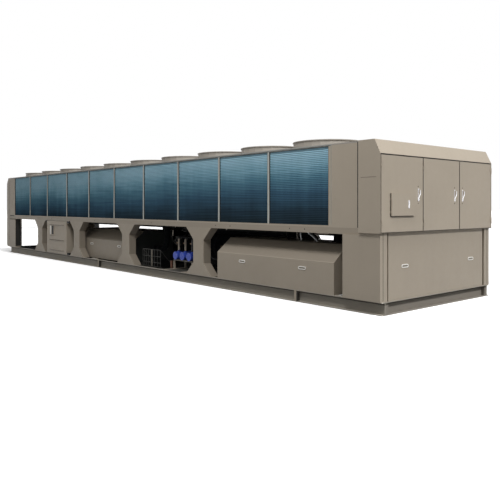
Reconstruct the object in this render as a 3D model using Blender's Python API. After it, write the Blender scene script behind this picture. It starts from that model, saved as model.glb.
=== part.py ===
# Air-cooled packaged chiller: a long welded base, hourglass legs, a condenser section with finned coils
# down both sides and two rows of roof fans, and an electrical cabinet over the end housing.
# Metres, +Z up. +X runs to the cabinet end, -Y is the near side, z = 0 is the ground.
# The origin is the centre of the ground rectangle under the whole machine.

import math

import bmesh
import bpy
from mathutils import Matrix, Vector

# Overall plan
base_length = 13.487
base_width = 2.63
base_height = 0.165
end_cover_depth = 0.22
cabinet_overhang = 0.015
latch_projection = 0.034
overall_length = end_cover_depth + base_length + cabinet_overhang + latch_projection
fit_gap = 0.0003
sheet = 0.004

# Heights
rail_bottom = 0.99
rail_height = 0.085
deck_top = 2.19
deck_thickness = 0.018
ring_height = 0.11
cabinet_bottom = 1.02
hood_bottom = 2.008

# Condenser bays
bays = 10
bay_pitch = 1.218
bays_start = 0.443
mullion_width = 0.036
frame_sill = 0.022
frame_head = 0.01
frame_depth = 0.03
coil_depth = 0.07
bays_per_coil = 2
fans_per_bay = 2
ring_radius = 0.52
ring_lip = 0.012
ring_segments = 24
fan_clearance = 0.02
hub_radius = 0.13
hub_height = 0.1
blade_count = 5
blade_pitch = math.radians(24)
blade_thickness = 0.008
motor_radius = 0.09
motor_height = 0.16
fan_drop = 0.05
fan_beam = 0.05

# Base channels
channel_web = 0.008
channel_flange = 0.01
channel_depth = 0.06
floor_beam_width = 0.1
floor_beam_height = 0.12
lifting_places = (5.8, 11.98)
lifting_plate = 0.06
end_gusset = 0.06
plenum_beam_width = 0.12
plenum_beam_bottom = 0.876

# Legs, by the distance of their middle from the base's left end
leg_places = (2.387, 4.667, 7.037, 9.607)
leg_width = 0.74
leg_waist = 0.3
leg_flare = 0.21
leg_depth = 0.155
leg_wall = 0.006

# Left end
corner_width = 0.5
corner_return = 0.36
end_chamfer_run = 0.12
end_chamfer_rise = 0.17
end_foot_chamfer = 0.05

# Electrical cabinet
cabinet_depth = 0.346
cabinet_side_overhang = 0.057
hood_run = 0.09
door_depth = 0.025
door_gap = 0.008
door_count = 3
post_width = 0.06
post_depth = 0.04
door_swing = math.radians(110)
knuckle_radius = 0.006
knuckle_height = 0.045
knuckle_lift = 0.0005
pin_radius = 0.003
pin_clearance = 0.0006
hinge_inset = 0.004
trim = 0.001
tab_clearance = 0.001
tab_thickness = 0.003
hatch_width = 0.494
hatch_height = 0.285
hatch_to_latch = 0.09
hatch_bottom = 1.235
hatch_depth = 0.022
hatch_knuckle_radius = 0.003
hatch_standoff = 0.006
latch_middle = 1.505
latch_height = 0.16
latch_width = 0.03
latch_plate = 0.006
latch_setbacks = (0.11, 0.13, 0.07)
hatch_latch_setback = 0.136
hatch_latch_rise = 0.146
hatch_latch_height = 0.1

# Housing under the cabinet
housing_length = 0.6
housing_overhang = 0.03
housing_inset = 0.012
corner_post = 0.145
panel_seam = 0.035
panel_inset = 0.01

# Compressor covers
cover_length = 2.55
cover_1_start = 4.45
cover_1_setback = 0.19
cover_2_setback = 0.004
cover_2_clearance = 0.177
cover_shoulder = 0.6
cover_top = 0.83
cover_depth = 1.0
cover_slope = 0.28
cover_foot = 0.03

# Side control box
box_start = 2.867
box_length = 1.22
box_depth = 0.4
box_door_depth = 0.022
louvre_heights = (0.895, 0.5, 0.268)
louvre_length = 0.87
louvre_projection = 0.012
box_handle_start = 0.19
box_handle_length = 0.3
box_handle_bottom = 0.62
box_handle_height = 0.235

# Evaporator, lying along the machine on the far half
evaporator_radius = 0.29
evaporator_length = 6.2
evaporator_start = 3.6
evaporator_offset = 0.42
evaporator_axis_height = 0.5
saddle_width = 0.5
saddle_thickness = 0.06
nozzle_radius = 0.1
nozzle_places = (0.5, 5.7)
nozzle_setback = 0.1
suction_radius = 0.07
suction_rise = 0.12
header_radius = 0.08
header_offset = 0.3
header_height = 0.87
header_start = 6.15
header_past_cover = 0.69
header_drop = 0.32
header_bend = 0.13
riser_radius = 0.06
riser_places = (3.0, 5.4)

# Filter driers and their pipes between the last two legs
drier_count = 3
drier_start = 8.614
drier_pitch = 0.22
drier_radius = 0.075
drier_length = 0.36
drier_axis = 0.43
drier_front = 0.18
drier_header_radius = 0.045
drier_stand_post = 0.03
liquid_pipe_radius = 0.02
drier_socket_radius = 0.028
drier_socket_rise = 0.014
liquid_pipe_setback = 0.085
liquid_pipe_top = 0.775
liquid_pipe_bend = 0.06
liquid_pipe_run = 0.3

# Suction pipe beside the first compressor cover, and the discharge pipe above the second
pipe_radius = 0.06
pipe_bend = 0.18
pipe_axis = 0.46
pipe_setback = 0.75
pipe_run = 0.444
discharge_radius = 0.085
discharge_collar = 0.105
discharge_collar_height = 0.02
discharge_setback = 0.715
discharge_from_cover = 2.03

left = -overall_length / 2
base_left = left + end_cover_depth
base_right = base_left + base_length
near = -base_width / 2
far = base_width / 2
rail_top = rail_bottom + rail_height
deck_bottom = deck_top - deck_thickness
bays_left = base_left + bays_start
bays_right = bays_left + bays * bay_pitch
door_front = base_right + cabinet_overhang
cabinet_left = door_front - cabinet_depth
cabinet_near = near - cabinet_side_overhang
cabinet_far = far + cabinet_side_overhang
housing_back = base_right - housing_inset - housing_length
cover_2_start = housing_back - cover_2_clearance - cover_length

parts_collection = bpy.data.collections.new("chiller")


def clear_scene():
    for item in list(bpy.data.objects):
        bpy.data.objects.remove(item)
    bpy.context.scene.collection.children.link(parts_collection)


def paint(name, colour, roughness, metallic=0.0):
    material = bpy.data.materials.get(name) or bpy.data.materials.new(name)
    material.use_nodes = True
    shader = material.node_tree.nodes["Principled BSDF"]
    shader.inputs["Base Color"].default_value = (*colour, 1.0)
    shader.inputs["Roughness"].default_value = roughness
    shader.inputs["Metallic"].default_value = metallic
    return material


tan = paint("tan_paint", (0.33, 0.29, 0.24), 0.5)
dark_base = paint("dark_base_paint", (0.09, 0.085, 0.075), 0.6)
coil_blue = paint("coated_fins", (0.04, 0.12, 0.17), 0.45, 0.3)
black_foam = paint("black_insulation", (0.015, 0.015, 0.016), 0.85)
blue_shell = paint("blue_shell_paint", (0.05, 0.07, 0.35), 0.4)
chrome = paint("chrome_plate", (0.7, 0.7, 0.7), 0.15, 1.0)
dark_metal = paint("dark_fan_metal", (0.05, 0.05, 0.055), 0.5, 0.4)


def add_box(mesh, low, high):
    """A box between two corners, from the cube primitive."""
    low, high = Vector(low), Vector(high)
    size = high - low
    place = Matrix.Translation((low + high) / 2) @ Matrix.Diagonal((*size, 1.0))
    bmesh.ops.create_cube(mesh, size=1.0, matrix=place)


def add_cylinder(mesh, start, end, radius, segments=16, top_radius=None):
    """A closed cylinder, or cone, from one point to another."""
    start, end = Vector(start), Vector(end)
    axis = end - start
    turn = axis.to_track_quat("Z", "Y").to_matrix().to_4x4()
    place = Matrix.Translation((start + end) / 2) @ turn
    bmesh.ops.create_cone(
        mesh,
        cap_ends=True,
        segments=segments,
        radius1=radius,
        radius2=radius if top_radius is None else top_radius,
        depth=axis.length,
        matrix=place,
    )


def part_of(name, build):
    """A loose object from a function that fills a bmesh."""
    mesh = bpy.data.meshes.new(name)
    work = bmesh.new()
    build(work)
    bmesh.ops.recalc_face_normals(work, faces=work.faces)
    work.to_mesh(mesh)
    work.free()
    item = bpy.data.objects.new(name, mesh)
    parts_collection.objects.link(item)
    return item


def box_piece(low, high):
    return part_of("piece", lambda mesh: add_box(mesh, low, high))


def rod_piece(start, end, radius, segments=16, top_radius=None):
    return part_of("piece", lambda mesh: add_cylinder(mesh, start, end, radius, segments, top_radius))


def outline_piece(loops, low, high, axis):
    """A flat outline with its holes, made solid between two planes square to an axis ("X", "Y" or "Z")."""
    curve = bpy.data.curves.new("outline", "CURVE")
    curve.dimensions = "2D"
    curve.fill_mode = "BOTH"
    curve.extrude = (high - low) / 2
    for loop in loops:
        spline = curve.splines.new("POLY")
        spline.points.add(len(loop) - 1)
        for point, (across, up) in zip(spline.points, loop):
            point.co = (across, up, 0.0, 1.0)
        spline.use_cyclic_u = True
    item = bpy.data.objects.new("piece", curve)
    parts_collection.objects.link(item)
    middle = (low + high) / 2
    if axis == "Y":
        item.matrix_world = Matrix(((1, 0, 0, 0), (0, 0, -1, middle), (0, 1, 0, 0), (0, 0, 0, 1)))
    elif axis == "X":
        item.matrix_world = Matrix(((0, 0, 1, middle), (1, 0, 0, 0), (0, 1, 0, 0), (0, 0, 0, 1)))
    else:
        item.matrix_world = Matrix.Translation((0, 0, middle))
    return as_mesh(item)


def as_mesh(item):
    """Turns a curve, or an object with modifiers, into a plain closed mesh object in world place."""
    bpy.context.view_layer.update()
    graph = bpy.context.evaluated_depsgraph_get()
    evaluated = item.evaluated_get(graph)
    mesh = bpy.data.meshes.new_from_object(evaluated)
    mesh.transform(item.matrix_world)
    work = bmesh.new()
    work.from_mesh(mesh)
    bmesh.ops.remove_doubles(work, verts=work.verts, dist=1e-5)
    bmesh.ops.recalc_face_normals(work, faces=work.faces)
    work.to_mesh(mesh)
    work.free()
    made = bpy.data.objects.new(item.name, mesh)
    parts_collection.objects.link(made)
    bpy.data.objects.remove(item)
    return made


def solid(name, material, pieces, cuts=()):
    """Joins pieces and cuts others away, leaving one node of that name."""
    item = pieces[0]
    for other in pieces[1:]:
        boolean(item, other, "UNION")
    for other in cuts:
        boolean(item, other, "DIFFERENCE")
    if item.modifiers:
        item = as_mesh(item)
    for other in (*pieces[1:], *cuts):
        bpy.data.objects.remove(other)
    item.name = name
    item.data.name = name
    item.data.materials.clear()
    item.data.materials.append(material)
    return item


def boolean(item, other, operation):
    modifier = item.modifiers.new(operation.lower(), "BOOLEAN")
    modifier.operation = operation
    modifier.solver = "EXACT"
    modifier.object = other


def rectangle(low_across, low_up, high_across, high_up):
    return [(low_across, low_up), (high_across, low_up), (high_across, high_up), (low_across, high_up)]


def base_channel(start, end, outer, outward):
    """A rail along X: web with flanges that reach out to the outer face."""
    web = outer - outward * channel_depth
    profile = [
        (web, 0.0),
        (outer, 0.0),
        (outer, channel_flange),
        (web + outward * channel_web, channel_flange),
        (web + outward * channel_web, base_height - channel_flange),
        (outer, base_height - channel_flange),
        (outer, base_height),
        (web, base_height),
    ]
    return outline_piece([profile], start, end, "X")


def base_rails():
    """The two side channels, each stiffened by upright plates at its lifting points."""
    for side, outer, outward in (("near", near, -1), ("far", far, 1)):
        pieces = [base_channel(base_left, base_right, outer, outward)]
        low, high = sorted((outer - outward * trim, outer - outward * (channel_depth - channel_web / 2)))
        for place in lifting_places:
            along = base_left + place
            pieces.append(
                box_piece(
                    (along - lifting_plate / 2, low, channel_flange / 2),
                    (along + lifting_plate / 2, high, base_height - channel_flange / 2),
                )
            )
        solid(f"base_rail_{side}", dark_base, pieces)


def base_floor():
    """End channels, floor beams under each leg and housing, and the keel that joins them."""
    inner = base_width / 2 - channel_depth - fit_gap
    top = floor_beam_height
    low = channel_flange
    pieces = [box_piece((base_left, -floor_beam_width / 2, low), (base_right, floor_beam_width / 2, top))]
    for end in (base_left, base_right - floor_beam_width):
        pieces.append(box_piece((end, -inner, 0.0), (end + floor_beam_width, inner, base_height)))
    middles = [base_left + place for place in leg_places]
    middles += [(a + b) / 2 for a, b in zip(middles, middles[1:])]
    middles += [base_left + leg_places[0] / 2, base_right - housing_length - floor_beam_width]
    bay_start, bay_end = middles[3], middles[-1]
    middles += [bay_start + (bay_end - bay_start) * third / 3 for third in (1, 2)]
    for middle in middles:
        half = floor_beam_width / 2
        pieces.append(box_piece((middle - half, -inner, low), (middle + half, inner, base_height)))
    recess = channel_depth - channel_web
    side = inner - end_gusset
    cuts = []
    for start, end in ((base_left - 1.0, base_left + recess), (base_right - recess, base_right + 1.0)):
        cuts.append(box_piece((start, -side, channel_flange), (end, side, base_height - channel_flange)))
    solid("base_floor_beams", dark_base, pieces, cuts)


def leg_outline(middle, wall=0.0):
    """Front view of a leg: wide head and foot, and a narrow waist. A wall draws the inner edge instead."""
    wide = leg_width / 2 - 2.4 * wall
    waist = leg_waist / 2 - wall
    flare = leg_flare - 0.4 * wall
    low = base_height + fit_gap + wall
    high = rail_bottom - fit_gap - wall
    foot = base_height + fit_gap + flare
    head = rail_bottom - fit_gap - flare
    return [
        (middle - wide, low),
        (middle + wide, low),
        (middle + waist, foot),
        (middle + waist, head),
        (middle + wide, high),
        (middle - wide, high),
        (middle - waist, head),
        (middle - waist, foot),
    ]


def legs():
    """Legs folded from sheet: a shaped face with its returns, open at the back."""
    for side, outer, inward in (("near", near, 1), ("far", far, -1)):
        for number, place in enumerate(leg_places, 1):
            middle = base_left + place
            low, high = sorted((outer, outer + inward * leg_depth))
            body = outline_piece([leg_outline(middle)], low, high, "Y")
            low, high = sorted((outer + inward * leg_wall, outer + inward * leg_depth * 2))
            hollow = outline_piece([leg_outline(middle, leg_wall)], low, high, "Y")
            solid(f"leg_{side}_{number}", tan, [body], [hollow])


def mid_rails():
    """The rail under the coils, which the legs carry."""
    for side, outer, inward in (("near", near, 1), ("far", far, -1)):
        web = outer + inward * sheet
        inner = outer + inward * leg_depth
        profile = [
            (outer, rail_bottom),
            (inner, rail_bottom),
            (inner, rail_bottom + sheet),
            (web, rail_bottom + sheet),
            (web, rail_top - sheet),
            (inner, rail_top - sheet),
            (inner, rail_top),
            (outer, rail_top),
        ]
        body = outline_piece([profile], base_left, cabinet_left - fit_gap, "X")
        solid(f"mid_rail_{side}", tan, [body])


def coil_frames():
    """One face frame a side: border, mullions between the bays, and the blank panels at both ends."""
    low = rail_top + fit_gap
    high = deck_bottom - fit_gap
    for side, outer, inward in (("near", near, 1), ("far", far, -1)):
        loops = [rectangle(base_left + fit_gap, low, cabinet_left - fit_gap, high)]
        for bay in range(bays):
            start = bays_left + bay * bay_pitch + mullion_width / 2
            end = start + bay_pitch - mullion_width
            loops.append(rectangle(start, low + frame_sill, end, high - frame_head))
        near_face, far_face = sorted((outer, outer + inward * frame_depth))
        solid(f"coil_frame_{side}", tan, [outline_piece(loops, near_face, far_face, "Y")])


def coils():
    """Finned slabs behind the frame, each as long as two bays."""
    slab = bays_per_coil * bay_pitch
    for side, outer, inward in (("near", near, 1), ("far", far, -1)):
        face = outer + inward * (frame_depth + fit_gap)
        low, high = sorted((face, face + inward * coil_depth))
        for number in range(bays // bays_per_coil):
            start = bays_left + number * slab + fit_gap
            body = box_piece(
                (start, low, rail_top + fit_gap),
                (start + slab - 2 * fit_gap, high, deck_bottom - fit_gap),
            )
            solid(f"coil_{side}_{number + 1}", coil_blue, [body])


def fan_centres(number):
    """Centres of the four fans over one coil slab."""
    found = []
    for bay in range(bays_per_coil):
        along = bays_left + (number * bays_per_coil + bay + 0.5) * bay_pitch
        for row in range(fans_per_bay):
            across = near + base_width * (row + 0.5) / fans_per_bay
            found.append((along, across))
    return found


def fan_decks():
    """Roof panels, each with four fan rings: a wall, a rolled lip at its top edge, and a bore through both."""
    count = bays // bays_per_coil
    ring_top = deck_top + ring_height
    middle = (deck_bottom + deck_top) / 2
    for number in range(count):
        start = bays_left + number * bays_per_coil * bay_pitch
        end = start + bays_per_coil * bay_pitch
        start = base_left if number == 0 else start
        end = cabinet_left if number == count - 1 else end
        pieces = [box_piece((start + fit_gap, near, deck_bottom), (end - fit_gap, far, deck_top))]
        bores = []
        for along, across in fan_centres(number):
            lip = ring_radius + ring_lip
            low = (along, across, middle)
            high = (along, across, ring_top)
            pieces.append(rod_piece(low, (along, across, ring_top - ring_lip / 2), ring_radius, ring_segments))
            pieces.append(rod_piece((along, across, ring_top - ring_lip), high, lip, ring_segments))
            below = (along, across, deck_bottom - ring_height)
            above = (along, across, ring_top + ring_height)
            bores.append(rod_piece(below, above, ring_radius - sheet, ring_segments))
        solid(f"fan_deck_{number + 1}", tan, pieces, bores)


def blade_piece(along, across, turn, height):
    """One pitched blade, a slab from inside the hub to near the ring."""
    reach = ring_radius - sheet - fan_clearance
    body = box_piece((hub_radius * 0.8, -0.11, -blade_thickness / 2), (reach, 0.11, blade_thickness / 2))
    place = Matrix.Translation((along, across, height))
    place = place @ Matrix.Rotation(turn, 4, "Z") @ Matrix.Rotation(blade_pitch, 4, "X")
    body.data.transform(place)
    return body


def fan_sets():
    """Motors and impellers of four fans, on the beams that carry them."""
    inner = base_width / 2 - frame_depth - coil_depth - 2 * fit_gap
    height = deck_top - fan_drop
    beam_top = height - hub_height / 2 - motor_height
    for number in range(bays // bays_per_coil):
        centres = fan_centres(number)
        places = sorted({along for along, _ in centres})
        pieces = []
        for along in places:
            half = fan_beam / 2
            pieces.append(box_piece((along - half, -inner, beam_top - fan_beam), (along + half, inner, beam_top)))
        tie = fan_beam / 2
        pieces.append(box_piece((places[0], -tie, beam_top - fan_beam * 0.8), (places[-1], tie, beam_top - 0.01)))
        for along, across in centres:
            overlap = 0.01
            pieces.append(
                rod_piece((along, across, beam_top - overlap), (along, across, height), motor_radius, 12)
            )
            pieces.append(
                rod_piece(
                    (along, across, height - hub_height / 2),
                    (along, across, height + hub_height / 2),
                    hub_radius,
                    12,
                )
            )
            for blade in range(blade_count):
                turn = 2 * math.pi * blade / blade_count
                pieces.append(blade_piece(along, across, turn, height))
        solid(f"fan_set_{number + 1}", dark_metal, pieces)


def plenum_floor():
    """The drip tray that closes the condenser section from below, and the long beam under its middle."""
    side = base_width / 2 - leg_depth - fit_gap
    low = rail_bottom
    body = box_piece((base_left + corner_return, -side, low), (cabinet_left - fit_gap, side, rail_top))
    inside = box_piece(
        (base_left + corner_return + sheet, -side + sheet, low + sheet),
        (cabinet_left - fit_gap - sheet, side - sheet, rail_top + sheet),
    )
    half = plenum_beam_width / 2
    beam = box_piece(
        (base_left + corner_return, -half, plenum_beam_bottom), (housing_back - fit_gap, half, low + sheet / 2)
    )
    solid("plenum_floor", dark_base, [body, beam], [inside])


def end_cover():
    """Full-height cover of the left end: a tray with a bevelled roof edge and an open lower middle."""
    right = base_left - fit_gap
    low = base_height
    outline = [
        (left + end_foot_chamfer, low),
        (right, low),
        (right, deck_top),
        (left + end_chamfer_run, deck_top),
        (left, deck_top - end_chamfer_rise),
        (left, low + end_foot_chamfer),
    ]
    body = outline_piece([outline], near, far, "Y")
    hollow = [
        (left + end_foot_chamfer + sheet, low + sheet),
        (right + 1.0, low + sheet),
        (right + 1.0, deck_top - sheet),
        (left + end_chamfer_run + sheet, deck_top - sheet),
        (left + sheet, deck_top - end_chamfer_rise - sheet),
        (left + sheet, low + end_foot_chamfer + sheet),
    ]
    inside = outline_piece([hollow], near + sheet, far - sheet, "Y")
    doorway = box_piece(
        (left - 1.0, near + corner_return, low - 1.0), (right + 1.0, far - corner_return, rail_bottom)
    )
    solid("end_cover", tan, [body], [inside, doorway])


def corner_posts():
    """Angle posts at the left end, between base and mid rail."""
    for side, outer, inward in (("near", near, 1), ("far", far, -1)):
        profile = [
            (base_left, outer),
            (base_left + corner_width, outer),
            (base_left + corner_width, outer + inward * leg_depth),
            (base_left + corner_width - sheet, outer + inward * leg_depth),
            (base_left + corner_width - sheet, outer + inward * sheet),
            (base_left + sheet, outer + inward * sheet),
            (base_left + sheet, outer + inward * corner_return),
            (base_left, outer + inward * corner_return),
        ]
        body = outline_piece([profile], base_height + fit_gap, rail_bottom - fit_gap, "Z")
        solid(f"corner_post_{side}", tan, [body])


def door_edges():
    """Y of each door's two edges, from the near door to the far one."""
    start = cabinet_near + sheet + door_gap
    end = cabinet_far - sheet - door_gap
    width = (end - start - (door_count - 1) * door_gap) / door_count
    return [(start + n * (width + door_gap), start + n * (width + door_gap) + width) for n in range(door_count)]


def hinge_heights():
    clear = 0.12
    return (cabinet_bottom + clear, hood_bottom - clear)


def cabinet_profile(inset):
    """Side view of the cabinet: upright back and front, and a hood that slopes up to the roof."""
    slope = inset * 0.7
    return [
        (cabinet_left + inset, cabinet_bottom + inset),
        (door_front - inset, cabinet_bottom + inset),
        (door_front - inset, hood_bottom + slope),
        (door_front - hood_run - slope, deck_top - inset),
        (cabinet_left + inset, deck_top - inset),
    ]


def cabinet_shell():
    """Folded shell with a sloping front hood, open behind the doors, with a post behind each seam."""
    back = door_front - door_depth - fit_gap
    walls = (cabinet_near + sheet, cabinet_far - sheet)
    body = outline_piece([cabinet_profile(0.0)], cabinet_near, cabinet_far, "Y")
    room = outline_piece([cabinet_profile(sheet)], *walls, "Y")
    mouth = box_piece((back, walls[0], cabinet_bottom - 1.0), (door_front + 1.0, walls[1], hood_bottom))
    shell = solid("shell", tan, [body], [room, mouth])
    lintel_low = (back - post_depth - 0.002, cabinet_near + sheet / 2, hood_bottom + 0.001)
    lintel_high = (door_front - sheet / 2, cabinet_far - sheet / 2, hood_bottom + 0.001 + sheet)
    pieces = [shell, box_piece(lintel_low, lintel_high)]
    for (_, before), (after, _) in zip(door_edges(), door_edges()[1:]):
        middle = (before + after) / 2
        half = post_width / 2
        low = cabinet_bottom + sheet / 2
        high = hood_bottom + sheet / 2
        pieces.append(box_piece((back - post_depth, middle - half, low), (back, middle + half, high)))
    pieces += shell_knuckles()
    solid("cabinet_shell", tan, pieces)


def hinge_axes():
    """(name, leaf edge at the hinge, direction along Y in which the leaf lies) for the cabinet doors."""
    edges = door_edges()
    return [("left", edges[0][0], 1), ("middle", edges[1][0], 1), ("right", edges[2][1], -1)]


def axis_x():
    return door_front + knuckle_radius + knuckle_lift


def between(first, second):
    return min(first, second), max(first, second)


def shell_knuckles():
    """Lower knuckles with their pins, on tabs that come forward through the door gaps."""
    pieces = []
    x = axis_x()
    root = door_front - door_depth - fit_gap
    for _, edge, toward in hinge_axes():
        across = edge + toward * hinge_inset
        tab = between(edge - toward * (tab_clearance + tab_thickness), edge - toward * tab_clearance)
        block = between(edge - toward * (door_gap + sheet / 2), edge + toward * door_gap)
        for height in hinge_heights():
            low = height - knuckle_height
            pieces.append(box_piece((root - 0.012, tab[0], low + trim), (x + trim, tab[1], height - trim)))
            pieces.append(box_piece((root - 0.02, block[0], low - 0.01), (root - trim, block[1], height + 0.01)))
            pieces.append(rod_piece((x, across, low), (x, across, height), knuckle_radius, 12))
            pieces.append(rod_piece((x, across, height - 0.01), (x, across, height + knuckle_height), pin_radius, 12))
    return pieces


def latch(name, face, across, middle, tall):
    """A lift-up lever on its long plate, with the lock barrel below it."""
    half = latch_width / 2
    start = face + fit_gap
    plate_face = start + latch_plate
    tip = door_front + latch_projection
    low = middle - tall / 2
    plate = box_piece((start, across - half, low), (plate_face, across + half, low + tall))
    lever = [
        (plate_face - 0.001, low + tall * 0.28),
        (plate_face + 0.004, low + tall * 0.24),
        (tip, low + tall * 0.6),
        (tip, low + tall * 0.88),
        (plate_face - 0.001, low + tall * 0.95),
    ]
    paddle = outline_piece([lever], across - half * 0.6, across + half * 0.6, "Y")
    barrel = (across, low + tall * 0.13)
    lock = rod_piece((start + 0.001, *barrel), (plate_face + (tip - plate_face) * 0.4, *barrel), half * 0.6, 12)
    solid(name, chrome, [plate, paddle, lock])


def latches():
    for (name, _, toward), (start, end), setback in zip(hinge_axes(), door_edges(), latch_setbacks):
        free = end - setback if toward > 0 else start + setback
        latch(f"door_latch_{name}", door_front, free, latch_middle, latch_height)
    _, hatch_start = hatch_axis()
    free = hatch_start + hatch_width - hatch_latch_setback
    latch("hatch_latch", door_front + hatch_depth, free, hatch_bottom + hatch_latch_rise, hatch_latch_height)


def leaf_knuckle(x, across, toward, base):
    """Upper knuckle, bored for the pin, with the strap that fixes it to the leaf's face."""
    top = base + knuckle_height
    knuckle = rod_piece((x, across, base), (x, across, top), knuckle_radius, 12)
    strap_low, strap_high = between(across, across + toward * 0.03)
    strap = box_piece((door_front - 0.002, strap_low, base), (door_front + 0.005, strap_high, top))
    bore = rod_piece((x, across, base - 1.0), (x, across, base + 1.0), pin_radius + pin_clearance, 12)
    return solid("knuckle", tan, [knuckle, strap], [bore])


def cabinet_doors():
    low = cabinet_bottom + 0.006
    high = hood_bottom - 0.006
    back = door_front - door_depth
    for (name, edge, toward), (start, end) in zip(hinge_axes(), door_edges()):
        tray = box_piece((back, start, low), (door_front, end, high))
        pocket = box_piece(
            (back - 1.0, start + sheet, low + sheet), (door_front - sheet, end - sheet, high - sheet)
        )
        pieces = [solid("skin", tan, [tray], [pocket])]
        x = axis_x()
        across = edge + toward * hinge_inset
        for height in hinge_heights():
            pieces.append(leaf_knuckle(x, across, toward, height + fit_gap))
        if name == "left":
            pieces += hatch_knuckles()
        solid(f"cabinet_door_{name}", tan, pieces)


def hatch_axis():
    latch_edge = door_edges()[0][1] - latch_setbacks[0] - latch_width / 2
    return door_front + hatch_depth, latch_edge - hatch_to_latch - hatch_width - door_gap / 2


def hatch_knuckles():
    x, across = hatch_axis()
    pieces = []
    for height in (hatch_bottom + 0.06, hatch_bottom + hatch_height - 0.06):
        pieces.append(box_piece((door_front - 0.002, across - 0.002, height - 0.03), (x, across + 0.002, height)))
        pieces.append(rod_piece((x, across, height - 0.03), (x, across, height), hatch_knuckle_radius, 12))
    return pieces


def hatch():
    """Small door over the operator panel, on the near cabinet door."""
    x, across = hatch_axis()
    face = door_front + hatch_depth
    low_y = across + door_gap / 2
    body = box_piece(
        (door_front + hatch_standoff, low_y, hatch_bottom), (face, low_y + hatch_width, hatch_bottom + hatch_height)
    )
    pieces = [body]
    for height in (hatch_bottom + 0.06, hatch_bottom + hatch_height - 0.06):
        base = height + fit_gap
        pieces.append(rod_piece((x, across, base), (x, across, base + 0.03), hatch_knuckle_radius, 12))
        pieces.append(box_piece((x - 0.002, across, base), (x, low_y + 0.01, base + 0.03)))
    solid("operator_hatch", tan, pieces)


def end_housing():
    """Enclosure under the cabinet, with corner posts beside the panel that lifts off its end."""
    front = base_right - housing_inset
    back = housing_back
    low = base_height + fit_gap
    high = cabinet_bottom - fit_gap
    near_face = near - housing_overhang
    far_face = far + housing_overhang
    step = rail_bottom - fit_gap
    outline = [
        (back, low),
        (front, low),
        (front, high),
        (cabinet_left + fit_gap, high),
        (cabinet_left + fit_gap, step),
        (back, step),
    ]
    body = outline_piece([outline], near_face, far_face, "Y")
    recess = box_piece(
        (front - 0.04, near_face + corner_post, low - 1.0), (front + 1.0, far_face - corner_post, high + 1.0)
    )
    solid("end_housing", tan, [body], [recess])
    panel = box_piece(
        (front - 0.04 + fit_gap, near_face + corner_post + panel_seam, low),
        (front - panel_inset, far_face - corner_post - panel_seam, high),
    )
    solid("end_panel", tan, [panel])


def compressor_covers():
    """Sound covers with a sloping front shoulder, standing on the floor beams."""
    places = ((base_left + cover_1_start, cover_1_setback), (cover_2_start, cover_2_setback))
    for number, (begin, setback) in enumerate(places, 1):
        face = near + setback
        low = base_height + fit_gap
        outline = [
            (face, low),
            (face + cover_depth, low),
            (face + cover_depth, cover_top),
            (face + cover_slope, cover_top),
            (face, cover_shoulder),
        ]
        body = outline_piece([outline], begin, begin + cover_length, "X")
        solid(f"compressor_cover_{number}", tan, [body])


def box_hinge_heights():
    return (base_height + 0.13, rail_bottom - 0.13)


def side_box():
    """Control box between the first two legs, open in front behind its door, with the hinge tabs."""
    start = base_left + box_start
    end = start + box_length
    low = base_height + fit_gap
    high = rail_bottom - fit_gap
    front = near + box_door_depth + fit_gap
    body = box_piece((start, front, low), (end, near + box_depth, high))
    inside = box_piece((start + sheet, near - 1.0, low + sheet), (end - sheet, near + box_depth - sheet, high - sheet))
    pieces = [solid("box", tan, [body], [inside])]
    x, y = box_hinge_axis()
    for height in box_hinge_heights():
        bottom = height - knuckle_height
        root = (end - trim, front + 0.01, bottom - trim)
        pieces.append(box_piece(root, (x + trim, front + 0.06, height + trim)))
        pieces.append(box_piece((x - 0.002, y, bottom + trim), (x + trim / 2, front + 0.05, height - trim)))
        pieces.append(rod_piece((x, y, bottom), (x, y, height), knuckle_radius * 0.8, 12))
        pieces.append(rod_piece((x, y, height - 0.01), (x, y, height + knuckle_height), pin_radius, 12))
    solid("side_box", tan, pieces)


def box_hinge_axis():
    return base_left + box_start + box_length + 0.006, near - 0.006


def side_box_door():
    """Louvred door of the control box, hinged on its right."""
    start = base_left + box_start
    end = start + box_length
    low = base_height + 0.008
    high = rail_bottom - 0.008
    pieces = [box_piece((start, near, low), (end, near + box_door_depth, high))]
    for height in louvre_heights:
        middle = (start + end) / 2
        half = louvre_length / 2
        wedge = [(near + 0.002, height - 0.02), (near - louvre_projection, height - 0.012), (near + 0.002, height)]
        pieces.append(outline_piece([wedge], middle - half, middle + half, "X"))
    x, y = box_hinge_axis()
    for height in box_hinge_heights():
        base = height + fit_gap
        knuckle = rod_piece((x, y, base), (x, y, base + knuckle_height), knuckle_radius * 0.8, 12)
        strap = box_piece((end - 0.03, y - 0.003, base), (x, near + 0.002, base + knuckle_height))
        bore = rod_piece((x, y, base - 1.0), (x, y, base + 1.0), pin_radius + pin_clearance, 12)
        pieces.append(solid("knuckle", tan, [knuckle, strap], [bore]))
    plate = (start + box_handle_start, start + box_handle_start + box_handle_length)
    plate_top = box_handle_bottom + box_handle_height
    pieces.append(box_piece((plate[0], near - 0.012, box_handle_bottom), (plate[1], near + 0.002, plate_top)))
    solid("side_box_door", tan, pieces)


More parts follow.
